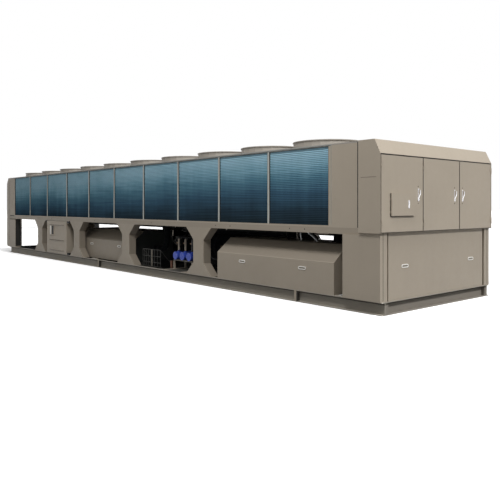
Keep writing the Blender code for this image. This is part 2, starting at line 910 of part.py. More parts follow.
def evaporator():
    """Insulated barrel on saddles, with its two water nozzles on the far side."""
    across = evaporator_offset
    start = base_left + evaporator_start
    end = start + evaporator_length
    axis = evaporator_axis_height
    pieces = [rod_piece((start, across, axis), (end, across, axis), evaporator_radius, 32)]
    for place in leg_places[1:]:
        middle = base_left + place
        pieces.append(
            box_piece(
                (middle - saddle_thickness / 2, across - saddle_width / 2, base_height + fit_gap),
                (middle + saddle_thickness / 2, across + saddle_width / 2, axis),
            )
        )
    for place in nozzle_places:
        outlet = (start + place, far - nozzle_setback, axis)
        pieces.append(rod_piece((start + place, across, axis), outlet, nozzle_radius, 20))
    back = near + cover_1_setback + cover_depth + fit_gap
    rise = axis + suction_rise
    for along in (start + evaporator_length * 0.28, start + evaporator_length * 0.42):
        pieces.append(rod_piece((along, across, rise), (along, back, rise), suction_radius, 16))
    header = suction_header()
    for place in riser_places:
        along = start + place
        pieces.append(rod_piece((along, header_offset, header_height), (along, across, axis), riser_radius, 16))
    solid("evaporator", black_foam, [*pieces, header])


def suction_header():
    """Header pipe above the barrel, which turns down and then in to the second compressor."""
    corner = (cover_2_start + header_past_cover, header_offset, header_height)
    foot = (corner[0], header_offset, header_height - header_drop)
    end = (corner[0], near + cover_2_setback + cover_depth + fit_gap, foot[2])
    path = [(base_left + header_start, header_offset, header_height)]
    path += bend(corner, (1, 0, 0), (0, 0, -1), header_bend)
    path += bend(foot, (0, 0, -1), (0, -1, 0), header_bend)
    path.append(end)
    return tube_piece(path, header_radius, 4)


def filter_driers():
    """Blue drier shells side by side on a stand, with the header that joins them at the back."""
    face = near + drier_front
    back = face + drier_length
    pieces = []
    places = [base_left + drier_start + number * drier_pitch for number in range(drier_count)]
    for along in places:
        pieces.append(rod_piece((along, face, drier_axis), (along, back, drier_axis), drier_radius, 20))
        across = face + liquid_pipe_setback
        top = drier_axis + drier_radius + drier_socket_rise
        pieces.append(rod_piece((along, across, drier_axis), (along, across, top), drier_socket_radius, 16))
    header = back - drier_header_radius * 2
    reach = drier_radius * 1.3
    ends = ((places[0] - reach, header, drier_axis), (places[-1] + reach, header, drier_axis))
    pieces.append(rod_piece(*ends, drier_header_radius, 16))
    solid("filter_driers", blue_shell, pieces)


def liquid_pipes():
    """Pipes that rise from the drier sockets and turn back to a cross pipe."""
    across = near + drier_front + liquid_pipe_setback
    low = drier_axis + drier_radius + drier_socket_rise + fit_gap
    run = across + liquid_pipe_run
    places = [base_left + drier_start + number * drier_pitch for number in range(drier_count)]
    pieces = []
    for along in places:
        path = [(along, across, low)]
        path += bend((along, across, liquid_pipe_top), (0, 0, 1), (0, 1, 0), liquid_pipe_bend)
        path.append((along, run, liquid_pipe_top))
        pieces.append(tube_piece(path, liquid_pipe_radius))
    ends = ((places[0] - 0.1, run, liquid_pipe_top), (places[-1] + 0.1, run, liquid_pipe_top))
    pieces.append(rod_piece(*ends, liquid_pipe_radius * 1.4, 12))
    solid("liquid_pipes", tan, pieces)


def bend(corner, arriving, leaving, radius, steps=5):
    """Points of a quarter turn round a corner, from one direction into another."""
    corner, arriving, leaving = Vector(corner), Vector(arriving), Vector(leaving)
    angles = [math.pi / 2 * step / steps for step in range(steps + 1)]
    return [
        corner - arriving * radius * (1 - math.sin(angle)) + leaving * radius * (1 - math.cos(angle))
        for angle in angles
    ]


def tube_piece(path, radius, sides=3):
    """A round tube along a path, with closed ends."""
    curve = bpy.data.curves.new("tube", "CURVE")
    curve.dimensions = "3D"
    curve.bevel_depth = radius
    curve.bevel_resolution = sides
    curve.use_fill_caps = True
    spline = curve.splines.new("POLY")
    spline.points.add(len(path) - 1)
    for point, place in zip(spline.points, path):
        point.co = (*place, 1.0)
    item = bpy.data.objects.new("piece", curve)
    parts_collection.objects.link(item)
    return as_mesh(item)


def drier_stand():
    face = near + drier_front
    low = base_height + fit_gap
    first = base_left + drier_start
    last = first + (drier_count - 1) * drier_pitch
    shelf_top = drier_axis - drier_radius - fit_gap
    front = face + 0.02
    back = face + drier_length - 0.06
    pieces = [box_piece((first - 0.09, front, shelf_top - 0.02), (last + 0.09, back, shelf_top))]
    pieces.append(box_piece((first - 0.15, near + 0.005, low), (last + 0.15, back + 0.04, low + 0.008)))
    for along in (first - 0.09, last + 0.09 - drier_stand_post):
        for across in (front, back - drier_stand_post):
            high = (along + drier_stand_post, across + drier_stand_post, shelf_top - 0.01)
            pieces.append(box_piece((along, across, low), high))
    solid("drier_stand", tan, pieces)


def compressor_pipes():
    """Insulated pipe from the first cover's end up into the condenser section, and one from the second's top."""
    top = rail_bottom - fit_gap
    start = base_left + cover_1_start + cover_length + fit_gap
    across = near + pipe_setback
    path = [(start, across, pipe_axis)]
    path += bend((start + pipe_run, across, pipe_axis), (1, 0, 0), (0, 0, 1), pipe_bend)
    path.append((start + pipe_run, across, top))
    solid("suction_pipe", black_foam, [tube_piece(path, pipe_radius)])
    along = cover_2_start + discharge_from_cover
    across = near + discharge_setback
    low = cover_top + fit_gap
    collar_top = low + discharge_collar_height
    pieces = [
        rod_piece((along, across, low), (along, across, collar_top), discharge_collar, 20),
        rod_piece((along, across, low + discharge_collar_height / 2), (along, across, top), discharge_radius, 20),
    ]
    solid("discharge_pipe", black_foam, pieces)


clear_scene()
base_rails()
base_floor()
legs()
mid_rails()
coil_frames()
coils()
fan_decks()
fan_sets()
plenum_floor()
end_cover()
corner_posts()
cabinet_shell()
cabinet_doors()
hatch()
latches()
end_housing()
compressor_covers()
side_box()
side_box_door()
evaporator()
filter_driers()
liquid_pipes()
drier_stand()
compressor_pipes()
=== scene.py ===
import math

import bmesh
import bpy
from mathutils import Matrix, Vector


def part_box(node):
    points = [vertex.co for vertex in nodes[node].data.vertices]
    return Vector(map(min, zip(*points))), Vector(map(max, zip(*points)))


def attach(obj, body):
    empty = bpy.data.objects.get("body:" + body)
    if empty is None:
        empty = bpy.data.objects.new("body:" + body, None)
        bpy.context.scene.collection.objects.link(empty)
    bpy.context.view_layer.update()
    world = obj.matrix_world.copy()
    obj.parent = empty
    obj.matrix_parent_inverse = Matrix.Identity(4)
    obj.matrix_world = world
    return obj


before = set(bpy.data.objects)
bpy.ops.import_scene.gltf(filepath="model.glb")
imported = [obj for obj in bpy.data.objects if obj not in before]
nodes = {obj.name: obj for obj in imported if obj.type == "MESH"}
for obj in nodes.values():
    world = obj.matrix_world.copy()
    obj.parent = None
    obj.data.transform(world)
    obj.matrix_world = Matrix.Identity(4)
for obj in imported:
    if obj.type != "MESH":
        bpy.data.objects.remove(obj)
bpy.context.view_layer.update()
print("frame loaded:", len(nodes), "nodes")


# Small helpers for node trees

def addNode(tree, kind, settings=None, inputs=None):
    made = tree.nodes.new(kind)
    for key, value in (settings or {}).items():
        setattr(made, key, value)
    for key, value in (inputs or {}).items():
        if isinstance(value, bpy.types.NodeSocket):
            tree.links.new(value, made.inputs[key])
        else:
            made.inputs[key].default_value = value
    return made


def newMaterial(name, rough=0.5, metallic=0.0, gloss=0.5):
    mat = bpy.data.materials.new(name)
    mat.use_nodes = True
    tree = mat.node_tree
    shader = tree.nodes["Principled BSDF"]
    shader.inputs["Roughness"].default_value = rough
    shader.inputs["Metallic"].default_value = metallic
    shader.inputs["Specular IOR Level"].default_value = gloss
    place = addNode(tree, "ShaderNodeTexCoord").outputs["Object"]
    return mat, tree, shader, place


def noise(tree, place, scale, detail=3.0, rough=0.5):
    return addNode(tree, "ShaderNodeTexNoise", None,
                   {"Vector": place, "Scale": scale, "Detail": detail, "Roughness": rough}).outputs["Fac"]


def stretch(tree, place, scale):
    return addNode(tree, "ShaderNodeMapping", None, {"Vector": place, "Scale": scale}).outputs["Vector"]


def remap(tree, value, low, high, toLow=0.0, toHigh=1.0):
    return addNode(tree, "ShaderNodeMapRange", None,
                   {"Value": value, "From Min": low, "From Max": high,
                    "To Min": toLow, "To Max": toHigh}).outputs["Result"]


def math2(tree, operation, first, second):
    return addNode(tree, "ShaderNodeMath", {"operation": operation}, {0: first, 1: second}).outputs[0]


def times(tree, first, second):
    return math2(tree, "MULTIPLY", first, second)


def blendColor(tree, share, first, second):
    made = addNode(tree, "ShaderNodeMix", {"data_type": "RGBA"})
    for index, value in ((0, share), (6, first), (7, second)):
        if isinstance(value, bpy.types.NodeSocket):
            tree.links.new(value, made.inputs[index])
        else:
            made.inputs[index].default_value = (*value, 1.0) if isinstance(value, tuple) else value
    return made.outputs[2]


def parts(tree, place):
    return addNode(tree, "ShaderNodeSeparateXYZ", None, {"Vector": place}).outputs


def bump(tree, shader, value, strength, depth):
    made = addNode(tree, "ShaderNodeBump", None, {"Height": value, "Strength": strength, "Distance": depth})
    tree.links.new(made.outputs["Normal"], shader.inputs["Normal"])


# 1 between the two corners of a box, else 0
def boxMask(tree, place, low, high):
    axes = parts(tree, place)
    mask = None
    for axis, (start, end) in enumerate(zip(low, high)):
        inside = math2(tree, "MULTIPLY", math2(tree, "GREATER_THAN", axes[axis], start),
                       math2(tree, "LESS_THAN", axes[axis], end))
        mask = inside if mask is None else times(tree, mask, inside)
    return mask


def shade(color, factor):
    return tuple(min(1.0, c * factor) for c in color)


# Powder-coated sheet: soft clouding, faint streaks of rain, dust near the ground and a fine orange peel

paintLook = {
    "dirt": (0.20, 0.18, 0.155),
    "cloudScale": 0.8, "cloudShare": 0.04, "streakScale": (7.0, 7.0, 0.4), "streakShare": 0.05,
    "dustTop": 0.6, "dustShare": 0.22, "peelScale": 620.0, "peelDepth": 0.0004, "rough": (0.46, 0.6), "gloss": 0.3,
}


def paintMaterial(name, color, otherParts=(), look=paintLook):
    mat, tree, shader, place = newMaterial(name, gloss=look["gloss"])
    cloud = noise(tree, place, look["cloudScale"], 4.0)
    tone = blendColor(tree, remap(tree, cloud, 0.3, 0.7), shade(color, 1 - look["cloudShare"]),
                      shade(color, 1 + look["cloudShare"]))
    streak = noise(tree, stretch(tree, place, look["streakScale"]), 1.0, 6.0, 0.6)
    tone = blendColor(tree, remap(tree, streak, 0.52, 0.8, 0.0, look["streakShare"]), tone, look["dirt"])
    dust = remap(tree, parts(tree, place)["Z"], 0.1, look["dustTop"], look["dustShare"], 0.0)
    tone = blendColor(tree, times(tree, dust, noise(tree, place, 5.0, 5.0)), tone, look["dirt"])
    # box masks: some give a face its own colour, others paint shade onto it
    for low, high, other in otherParts:
        tone = blendColor(tree, boxMask(tree, place, low, high), tone, other)
    tree.links.new(tone, shader.inputs["Base Color"])
    spots = noise(tree, place, 14.0, 4.0)
    tree.links.new(remap(tree, spots, 0.3, 0.7, *look["rough"]), shader.inputs["Roughness"])
    bump(tree, shader, noise(tree, place, look["peelScale"], 2.0), 0.25, look["peelDepth"])
    return mat


# Plain finishes for plastic, plated and cast parts: a speckled tone and an uneven gloss

def plainMaterial(name, color, rough, metallic=0.0, speckle=0.08, scale=30.0, depth=0.0002, gloss=0.5):
    mat, tree, shader, place = newMaterial(name, rough, metallic, gloss)
    spots = noise(tree, place, scale, 5.0)
    tone = blendColor(tree, remap(tree, spots, 0.3, 0.7), shade(color, 1 - speckle), shade(color, 1 + speckle))
    tree.links.new(tone, shader.inputs["Base Color"])
    tree.links.new(remap(tree, spots, 0.3, 0.7, rough * 0.85, min(1.0, rough * 1.15)), shader.inputs["Roughness"])
    bump(tree, shader, noise(tree, place, scale * 12, 2.0), 0.3, depth)
    return mat


# Coated fins: pale steel blue at the top to nearly black at the bottom, a blue coat with painted light and shade laid
# over it by height, and a painted lift of light towards the left end

coilLook = {
    "low": 1.09, "high": 2.165, "finPitch": 0.004, "gloss": 0.0, "leftX": -6.2, "rightX": 6.0, "leftLightLift": 0.25,
    "tones": ((0.0, (0.026, 0.042, 0.053)), (0.2, (0.036, 0.066, 0.096)), (0.42, (0.070, 0.154, 0.236)),
              (0.62, (0.135, 0.300, 0.405)), (0.8, (0.295, 0.540, 0.670)), (1.0, (0.440, 0.700, 0.830))),
    "waveScale": (0.7, 0.7, 1.6), "wave": 0.14, "patchScale": (1.6, 1.6, 3.5), "patchShare": 0.18,
    "teal": (0.12, 0.34, 0.40), "brushScale": (0.6, 0.6, 38.0), "brush": 0.1, "columnScale": (4.5, 4.5, 0.35),
    "column": 0.09,
}


def coilMaterial(name, shadeGain, look=coilLook):
    mat, tree, shader, place = newMaterial(name, 0.5, 0.0, look["gloss"])
    # painted light and shade: the colour runs from dark at the bottom of the coil to pale at the top
    level = remap(tree, parts(tree, place)["Z"], look["low"], look["high"])
    sway = noise(tree, stretch(tree, place, look["waveScale"]), 1.0, 3.0)
    level = math2(tree, "ADD", level, remap(tree, sway, 0.3, 0.7, -look["wave"] / 2, look["wave"] / 2))
    for kind in ("brush", "column"):
        grain = noise(tree, stretch(tree, place, look[kind + "Scale"]), 1.0, 3.0, 0.6)
        level = math2(tree, "ADD", level, remap(tree, grain, 0.3, 0.7, -look[kind] / 2, look[kind] / 2))
    x = parts(tree, place)["X"]
    # painted light: the coil grows paler towards the left end
    level = math2(tree, "ADD", level, remap(tree, x, look["rightX"], look["leftX"], 0.0, look["leftLightLift"]))
    ramp = addNode(tree, "ShaderNodeValToRGB", None, {"Fac": level})
    stops = ramp.color_ramp.elements
    for index, (at, tone) in enumerate(look["tones"]):
        stop = stops[index] if index < 2 else stops.new(at)
        stop.position = at
        stop.color = (*shade(tone, shadeGain), 1.0)
    patch = noise(tree, stretch(tree, place, look["patchScale"]), 1.0, 4.0)
    share = times(tree, remap(tree, patch, 0.5, 0.75, 0.0, look["patchShare"]), level)
    tone = blendColor(tree, share, ramp.outputs["Color"], shade(look["teal"], shadeGain))
    tree.links.new(tone, shader.inputs["Base Color"])
    fins = addNode(tree, "ShaderNodeTexWave", {"wave_type": "BANDS", "bands_direction": "X"},
                   {"Vector": place, "Scale": 1.0 / look["finPitch"] / math.pi, "Distortion": 0.0})
    bump(tree, shader, fins.outputs["Fac"], 0.4, 0.001)
    return mat


# Closed-cell insulation: matt black, lumpy, with taped seams along the machine

foamLook = {"base": (0.005, 0.006, 0.007), "worn": (0.014, 0.016, 0.018), "tape": (0.03, 0.03, 0.034), "pitch": 0.32}


def foamMaterial(name, look=foamLook):
    mat, tree, shader, place = newMaterial(name, 0.9, 0.0, 0.06)
    lumps = noise(tree, place, 9.0, 6.0, 0.6)
    tone = blendColor(tree, remap(tree, lumps, 0.35, 0.7), look["base"], look["worn"])
    seams = addNode(tree, "ShaderNodeTexWave", {"wave_type": "BANDS", "bands_direction": "X"},
                    {"Vector": place, "Scale": look["pitch"], "Distortion": 0.2})
    tone = blendColor(tree, remap(tree, seams.outputs["Fac"], 0.97, 1.0, 0.0, 0.7), tone, look["tape"])
    tree.links.new(tone, shader.inputs["Base Color"])
    bump(tree, shader, noise(tree, place, 60.0, 4.0), 0.5, 0.002)
    return mat


# Painted structural steel: uneven cover, small chips and dust lying along it

steelLook = {"cloud": 1.4, "chips": 22.0, "dust": 0.35, "dustScale": (2.0, 2.0, 16.0)}


def steelMaterial(name, color, scuff, otherParts=(), gloss=0.2, look=steelLook):
    mat, tree, shader, place = newMaterial(name, 0.6, 0.0, gloss)
    cloud = noise(tree, place, look["cloud"], 6.0, 0.6)
    tone = blendColor(tree, remap(tree, cloud, 0.3, 0.7), shade(color, 0.85), shade(color, 1.08))
    chips = addNode(tree, "ShaderNodeTexVoronoi", None, {"Vector": place, "Scale": look["chips"]}).outputs["Distance"]
    worn = times(tree, remap(tree, chips, 0.06, 0.02), remap(tree, noise(tree, place, 3.0), 0.55, 0.7))
    tone = blendColor(tree, worn, tone, scuff)
    layer = noise(tree, stretch(tree, place, look["dustScale"]), 1.0, 5.0)
    tone = blendColor(tree, remap(tree, layer, 0.5, 0.85, 0.0, look["dust"]), tone, scuff)
    # box masks: some give a face its own colour, others paint shade or highlight onto it
    for low, high, other in otherParts:
        tone = blendColor(tree, boxMask(tree, place, low, high), tone, other)
    tree.links.new(tone, shader.inputs["Base Color"])
    tree.links.new(remap(tree, cloud, 0.3, 0.7, 0.5, 0.72), shader.inputs["Roughness"])
    bump(tree, shader, noise(tree, place, 240.0, 3.0), 0.35, 0.0006)
    return mat


# Finishes of the machine. The tans are one paint made lighter or darker part by part, and a box mask gives a single
# face its own tone; several masks paint shade onto faces that lie in shade

tan = (0.40, 0.345, 0.275)
black = (0.012, 0.012, 0.012)
shadeBlack = (0.02, 0.02, 0.02)
greyEdge = (0.33, 0.33, 0.31)
mullionGrey = (0.47, 0.485, 0.45)
flangeShadow, flangeHighlight = (0.09, 0.082, 0.068), (0.34, 0.315, 0.275)
tanShares = {"panel": 0.93, "box": 1.06, "leg": 0.87, "legReturnShade": 0.66, "door": 1.04, "screw": 0.82, "rail": 0.8,
             "cover": 0.87, "coverLeftShade": 0.76, "coverSlopeShade": 0.68, "wellShade": 0.5, "pipe": 1.15, "stand": 0.72,
             "plate": 0.95}
tans = {name: shade(tan, share) for name, share in tanShares.items()}

deckEnds = (-6.3, 6.0)
# painted shade: the end return under the coil section is painted near black where it lies in shade
endReturnShade = ((deckEnds[0], -1.31, 0.2), (-6.05, 1.31, 0.985), (0.028, 0.027, 0.025))
# painted shade: the leg returns behind the front plane are painted darker
legReturnShades = [((-5.0, -1.3115, 0.16), (5.0, -1.1, 1.0), tans["legReturnShade"]),
              ((-5.0, 1.1, 0.16), (5.0, 1.3115, 1.0), tans["legReturnShade"])]
deckEdges = [((deckEnds[0], y - 0.004, 2.17), (deckEnds[1], y + 0.004, 2.1905), greyEdge) for y in (-1.315, 1.315)]
uprights = [((-6.16, -1.4, 1.098), (5.92, 1.4, 2.161), mullionGrey),
            ((deckEnds[0], -1.4, 2.161), (deckEnds[1], 1.4, 2.18), greyEdge)]
# painted shade: the posts behind the gaps between leaves and the strips at the outer door edges are painted black for
# the shade in those gaps
doorGapShades = [((6.765, y - 0.04, 1.03), (6.8195, y + 0.04, 2.01), shadeBlack) for y in (-0.4557, 0.4557)]
doorGapShades += [((6.8, y - 0.004, 1.025), (6.8445, y + 0.004, 2.004), shadeBlack) for y in (-1.364, 1.364)]
# painted shade: the first cover under the rail, the upper slope of the second cover, and the first cover's right end,
# which lies in deep shade
coverShadeFaces = [((-2.3, -1.2, 0.1), (0.336, 0.0, 0.9), tans["coverLeftShade"]),
              ((3.48, -1.304, 0.3), (6.036, -0.3, 0.84), tans["coverSlopeShade"]),
              ((0.336, -1.2, 0.1), (0.35, 0.0, 0.9), (0.012, 0.014, 0.013))]
pipeShadows = [((1.8, -1.2, 0.745), (2.6, -0.6, 0.9), shadeBlack), ((2.3, -1.2, 0.5), (2.6, -0.6, 0.9), shadeBlack)]
standShadows = [((1.7, -1.4, 0.33), (2.6, -0.7, 0.36), (0.06, 0.055, 0.05)),
                ((1.93, -1.4, 0.1), (2.4, -0.7, 0.34), (0.05, 0.047, 0.04))]
tanPaint = paintMaterial("tanPaint", tans["panel"], [endReturnShade])
boxPaint = paintMaterial("boxPaint", tans["box"])
legPaint = paintMaterial("legPaint", tans["leg"], legReturnShades)
doorPaint = paintMaterial("doorPaint", tans["door"])
shadePaint = paintMaterial("shadePaint", tans["screw"])
railPaint = paintMaterial("railPaint", tans["rail"])
ringPaint = paintMaterial("ringPaint", (0.335, 0.31, 0.275), deckEdges)
framePaint = paintMaterial("framePaint", tan, uprights)
cabinetPaint = paintMaterial("cabinetPaint", tan, doorGapShades)
coverPaint = paintMaterial("coverPaint", tans["cover"], coverShadeFaces)
wellShadePaint = paintMaterial("wellShadePaint", tans["wellShade"])
pipePaint = paintMaterial("pipePaint", tans["pipe"], pipeShadows)
standPaint = paintMaterial("standPaint", tans["stand"], standShadows)

# Base: painted shadow under the top flange and painted highlights along the flange edges, pale lifting plates each
# with a dark strip of painted shade for the hole beside it, and a painted highlight line at the near right corner
liftingX = (-0.858, 5.322)
liftPlatesAndHoleShade = [((x - 0.031, -2.0, -0.01), (x + 0.014, 2.0, 0.17), tans["plate"]) for x in liftingX]
# painted shade: a dark strip beside each plate stands for the hole there
liftPlatesAndHoleShade += [((x + 0.014, -2.0, -0.01), (x + 0.031, 2.0, 0.13), (0.05, 0.045, 0.04)) for x in liftingX]
# painted highlight: a bright line on the near right corner edge
cornerHighlight = [((6.812, -1.4, -0.01), (6.83, -1.3, 0.17), (0.62, 0.58, 0.52))]
# painted shadow under the top flange, and painted highlights on the flange edges
flangeLightBands = ((0.128, 0.1568, flangeShadow), (0.157, 0.1645, flangeHighlight), (-0.01, 0.008, flangeHighlight))
flangeLightLines = [((-6.7, -2.0, bottom), (end, 2.0, top), tone)
               for end, (bottom, top, tone) in zip((6.826, 6.9, 6.9), flangeLightBands)]
baseEnds = ((6.7, 6.9), (-6.7, -6.6))
endBeams = [((start, -2.0, -0.01), (end, 2.0, 0.17), (0.24, 0.218, 0.187)) for start, end in baseEnds]
endLightLines = [((start, -2.0, bottom), (end, 2.0, top), tone)
            for start, end in baseEnds for bottom, top, tone in flangeLightBands]
railMarksAndPaintedLight = flangeLightLines + liftPlatesAndHoleShade + cornerHighlight
baseSteel = steelMaterial("baseSteel", (0.335, 0.306, 0.26), (0.31, 0.29, 0.25), railMarksAndPaintedLight)
# painted shade: the steel inside the machine is near black where it lies in shade; the base end beams keep the base
# colour
innerShadeSteel = steelMaterial("innerShadeSteel", (0.03, 0.03, 0.028), (0.07, 0.067, 0.06), endBeams + endLightLines, gloss=0.06)
# painted shade: the fins between the tube rows take a darker copy of the coil colour
finPack = coilMaterial("finPack", 0.62)
coilTube = coilMaterial("coilTube", 1.0)
blackFoam = foamMaterial("blackFoam")
shellBlue = plainMaterial("shellBlue", (0.045, 0.085, 0.46), 0.4, speckle=0.06, gloss=0.25)
fanMetal = plainMaterial("fanMetal", (0.045, 0.045, 0.048), 0.5, 0.2, 0.15)
guardWire = plainMaterial("guardWire", (0.07, 0.07, 0.065), 0.5, 0.1, 0.1, gloss=0.2)
chromePlate = plainMaterial("chromePlate", (0.78, 0.78, 0.79), 0.16, 1.0, 0.03)
zincBolt = plainMaterial("zincBolt", (0.36, 0.33, 0.29), 0.4, 0.6, 0.12, 60.0)
darkScrew = plainMaterial("darkScrew", (0.07, 0.06, 0.05), 0.5, 0.4, 0.1, 60.0)
pullPlastic = plainMaterial("pullPlastic", (0.84, 0.82, 0.77), 0.4, speckle=0.04)
# black rubber for the real gaskets and tape, also used for strips that paint shade into gaps and recesses
rubberAndShadeBlack = plainMaterial("rubberAndShadeBlack", black, 0.75, speckle=0.15, gloss=0.3)
gearPlastic = plainMaterial("gearPlastic", (0.05, 0.052, 0.055), 0.45, speckle=0.1)
gearGrey = plainMaterial("gearGrey", (0.42, 0.43, 0.43), 0.5, speckle=0.05)
plateZinc = plainMaterial("plateZinc", (0.45, 0.46, 0.46), 0.42, 0.6, 0.08, 18.0)
copperPipe = plainMaterial("copperPipe", (0.10, 0.05, 0.03), 0.5, 0.5, 0.15)
brassBody = plainMaterial("brassBody", (0.13, 0.075, 0.03), 0.5, 0.4, 0.15)
paleSteel = plainMaterial("paleSteel", (0.33, 0.30, 0.25), 0.5, 0.1, 0.08)
rustyBit = plainMaterial("rustyBit", (0.16, 0.075, 0.045), 0.6, 0.1, 0.2)
print("materials ready")

finishes = {
    "base_rail": baseSteel, "base_floor": innerShadeSteel, "plenum": innerShadeSteel,
    "coil_near": finPack, "coil_far": finPack, "fan_deck": ringPaint, "fan_set": fanMetal,
    "coil_frame": framePaint, "mid_rail": railPaint, "cabinet_shell": cabinetPaint, "compressor_cover": coverPaint,
    "evaporator": blackFoam, "suction_pipe": blackFoam, "discharge_pipe": blackFoam, "filter_driers": shellBlue,
    "door_latch": chromePlate, "hatch_latch": chromePlate, "cabinet_door": doorPaint, "operator_hatch": doorPaint,
    "drier_stand": standPaint, "leg_": legPaint, "side_box": boxPaint, "liquid_pipes": pipePaint,
}
for name, item in nodes.items():
    chosen = next((mat for start, mat in finishes.items() if name.startswith(start)), tanPaint)
    item.data.materials.clear()
    item.data.materials.append(chosen)
print("CAD nodes finished")


# Making pieces

def addPiece(name, mesh, mat, body="frame"):
    item = mesh if isinstance(mesh, bpy.types.Object) else bpy.data.objects.new(name, mesh)
    item.name = name
    if item.name not in bpy.context.scene.collection.objects:
        bpy.context.scene.collection.objects.link(item)
    if mat is not None:
        item.data.materials.clear()
        item.data.materials.append(mat)
    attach(item, body)
    return item


def startTree(name, sizes):
    tree = bpy.data.node_groups.new(name, "GeometryNodeTree")
    tree.interface.new_socket("Geometry", in_out="INPUT", socket_type="NodeSocketGeometry")
    tree.interface.new_socket("Geometry", in_out="OUTPUT", socket_type="NodeSocketGeometry")
    kinds = {float: "NodeSocketFloat", int: "NodeSocketInt", tuple: "NodeSocketVector"}
    for label, value in sizes.items():
        kind = "NodeSocketMaterial" if isinstance(value, bpy.types.Material) else kinds[type(value)]
        tree.interface.new_socket(label, in_out="INPUT", socket_type=kind)
    return tree, tree.nodes.new("NodeGroupInput").outputs


def endTree(tree, geometry, mat, smooth=False):
    solid = addNode(tree, "GeometryNodeRealizeInstances", None, {"Geometry": geometry}).outputs[0]
    if smooth:
        solid = addNode(tree, "GeometryNodeSetShadeSmooth", None, {"Geometry": solid}).outputs[0]
    solid = addNode(tree, "GeometryNodeSetMaterial", None, {"Geometry": solid, "Material": mat}).outputs[0]
    tree.links.new(solid, addNode(tree, "NodeGroupOutput").inputs[0])


def vector(tree, x=0.0, y=0.0, z=0.0):
    return addNode(tree, "ShaderNodeCombineXYZ", None, {"X": x, "Y": y, "Z": z}).outputs[0]


def placed(tree, points, instance, **settings):
    return addNode(tree, "GeometryNodeInstanceOnPoints", None,
                   {"Points": points, "Instance": instance, **settings}).outputs[0]


def growTree(name, tree, sizes, points=None):
    mesh = bpy.data.meshes.new(name + "Start")
    if points:
        mesh.from_pydata([p for p, _ in points], [], [])
        facing = mesh.attributes.new("facing", "FLOAT_VECTOR", "POINT")
        facing.data.foreach_set("vector", [c for _, normal in points for c in normal])
    item = bpy.data.objects.new(name, mesh)
    bpy.context.scene.collection.objects.link(item)
    grow = item.modifiers.new("grow", "NODES")
    grow.node_group = tree
    for socket in tree.interface.items_tree:
        if socket.in_out == "INPUT" and socket.name in sizes:
            grow[socket.identifier] = sizes[socket.name]
    item.update_tag()
    bpy.context.view_layer.update()
    made = bpy.data.meshes.new_from_object(item.evaluated_get(bpy.context.evaluated_depsgraph_get()))
    item.modifiers.clear()
    item.data = made
    made.name = name
    return item


def softBox(mesh, low, high, edge=0.0, segments=1):
    low, high = Vector(low), Vector(high)
    place = Matrix.Translation((low + high) / 2) @ Matrix.Diagonal((*(high - low), 1.0))
    verts = bmesh.ops.create_cube(mesh, size=1.0, matrix=place)["verts"]
    if edge > 0:
        edges = list({e for v in verts for e in v.link_edges})
        bmesh.ops.bevel(mesh, geom=edges, offset=edge, segments=segments, affect="EDGES", profile=0.5)


def rod(mesh, start, end, radius, sides=12, endRadius=None):
    start, end = Vector(start), Vector(end)
    axis = end - start
    place = Matrix.Translation((start + end) / 2) @ axis.to_track_quat("Z", "Y").to_matrix().to_4x4()
    bmesh.ops.create_cone(mesh, cap_ends=True, segments=sides, radius1=radius,
                          radius2=radius if endRadius is None else endRadius, depth=axis.length, matrix=place)


def buildMesh(name, fill, mat, body="frame", smooth=0.6):
    work = bmesh.new()
    fill(work)
    bmesh.ops.recalc_face_normals(work, faces=work.faces)
    mesh = bpy.data.meshes.new(name)
    work.to_mesh(mesh)
    work.free()
    mesh.shade_smooth()
    mesh.set_sharp_from_angle(angle=smooth)
    return addPiece(name, mesh, mat, body)


def boxes(name, rows, mat, body="frame", edge=0.0):
    def fill(work):
        for start, end in rows:
            softBox(work, start, end, edge)
    return buildMesh(name, fill, mat, body)


def rods(name, rows, mat, body="frame", sides=10):
    def fill(work):
        for start, end, radius in rows:
            rod(work, start, end, radius, sides)
    return buildMesh(name, fill, mat, body)


def tube(name, path, radius, mat, body="frame", sides=4):
    curve = bpy.data.curves.new(name, "CURVE")
    curve.dimensions = "3D"
    curve.bevel_depth = radius
    curve.bevel_resolution = sides
    curve.use_fill_caps = True
    line = curve.splines.new("BEZIER")
    line.bezier_points.add(len(path) - 1)
    for point, place in zip(line.bezier_points, path):
        point.co = place
        point.handle_left_type = point.handle_right_type = "AUTO"
    line.resolution_u = 6
    item = bpy.data.objects.new(name + "Line", curve)
    bpy.context.scene.collection.objects.link(item)
    bpy.context.view_layer.update()
    mesh = bpy.data.meshes.new_from_object(item.evaluated_get(bpy.context.evaluated_depsgraph_get()))
    bpy.data.objects.remove(item)
    mesh.name = name
    mesh.shade_smooth()
    return addPiece(name, mesh, mat, body)


# Sizes read from the frame

low, high = {}, {}
for name in nodes:
    low[name], high[name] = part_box(name)
near = low["coil_frame_near"].y
far = high["coil_frame_far"].y
coilLow = low["coil_near_1"].z
coilHigh = high["coil_near_1"].z
baysLeft = low["coil_near_1"].x
baysRight = high["coil_near_5"].x
bayPitch = (baysRight - baysLeft) / 10
ringTop = high["fan_deck_1"].z
baseLeft = low["base_rail_near"].x
baseTop = high["base_rail_near"].z
railLow = low["mid_rail_near"].z
print("bays from", round(baysLeft, 3), "pitch", round(bayPitch, 4), "coil", round(coilLow, 3), round(coilHigh, 3))


# Tube rows in front of the fins, one stack to a bay

tubeLook = {"Bays": 10, "Rows": 42, "Pitch": bayPitch, "Length": bayPitch - 0.039, "Rise": 0.0252, "Thick": 0.0175,
            "Depth": 0.012}
tubeStart = {"lift": 0.0352, "recess": 0.0225}


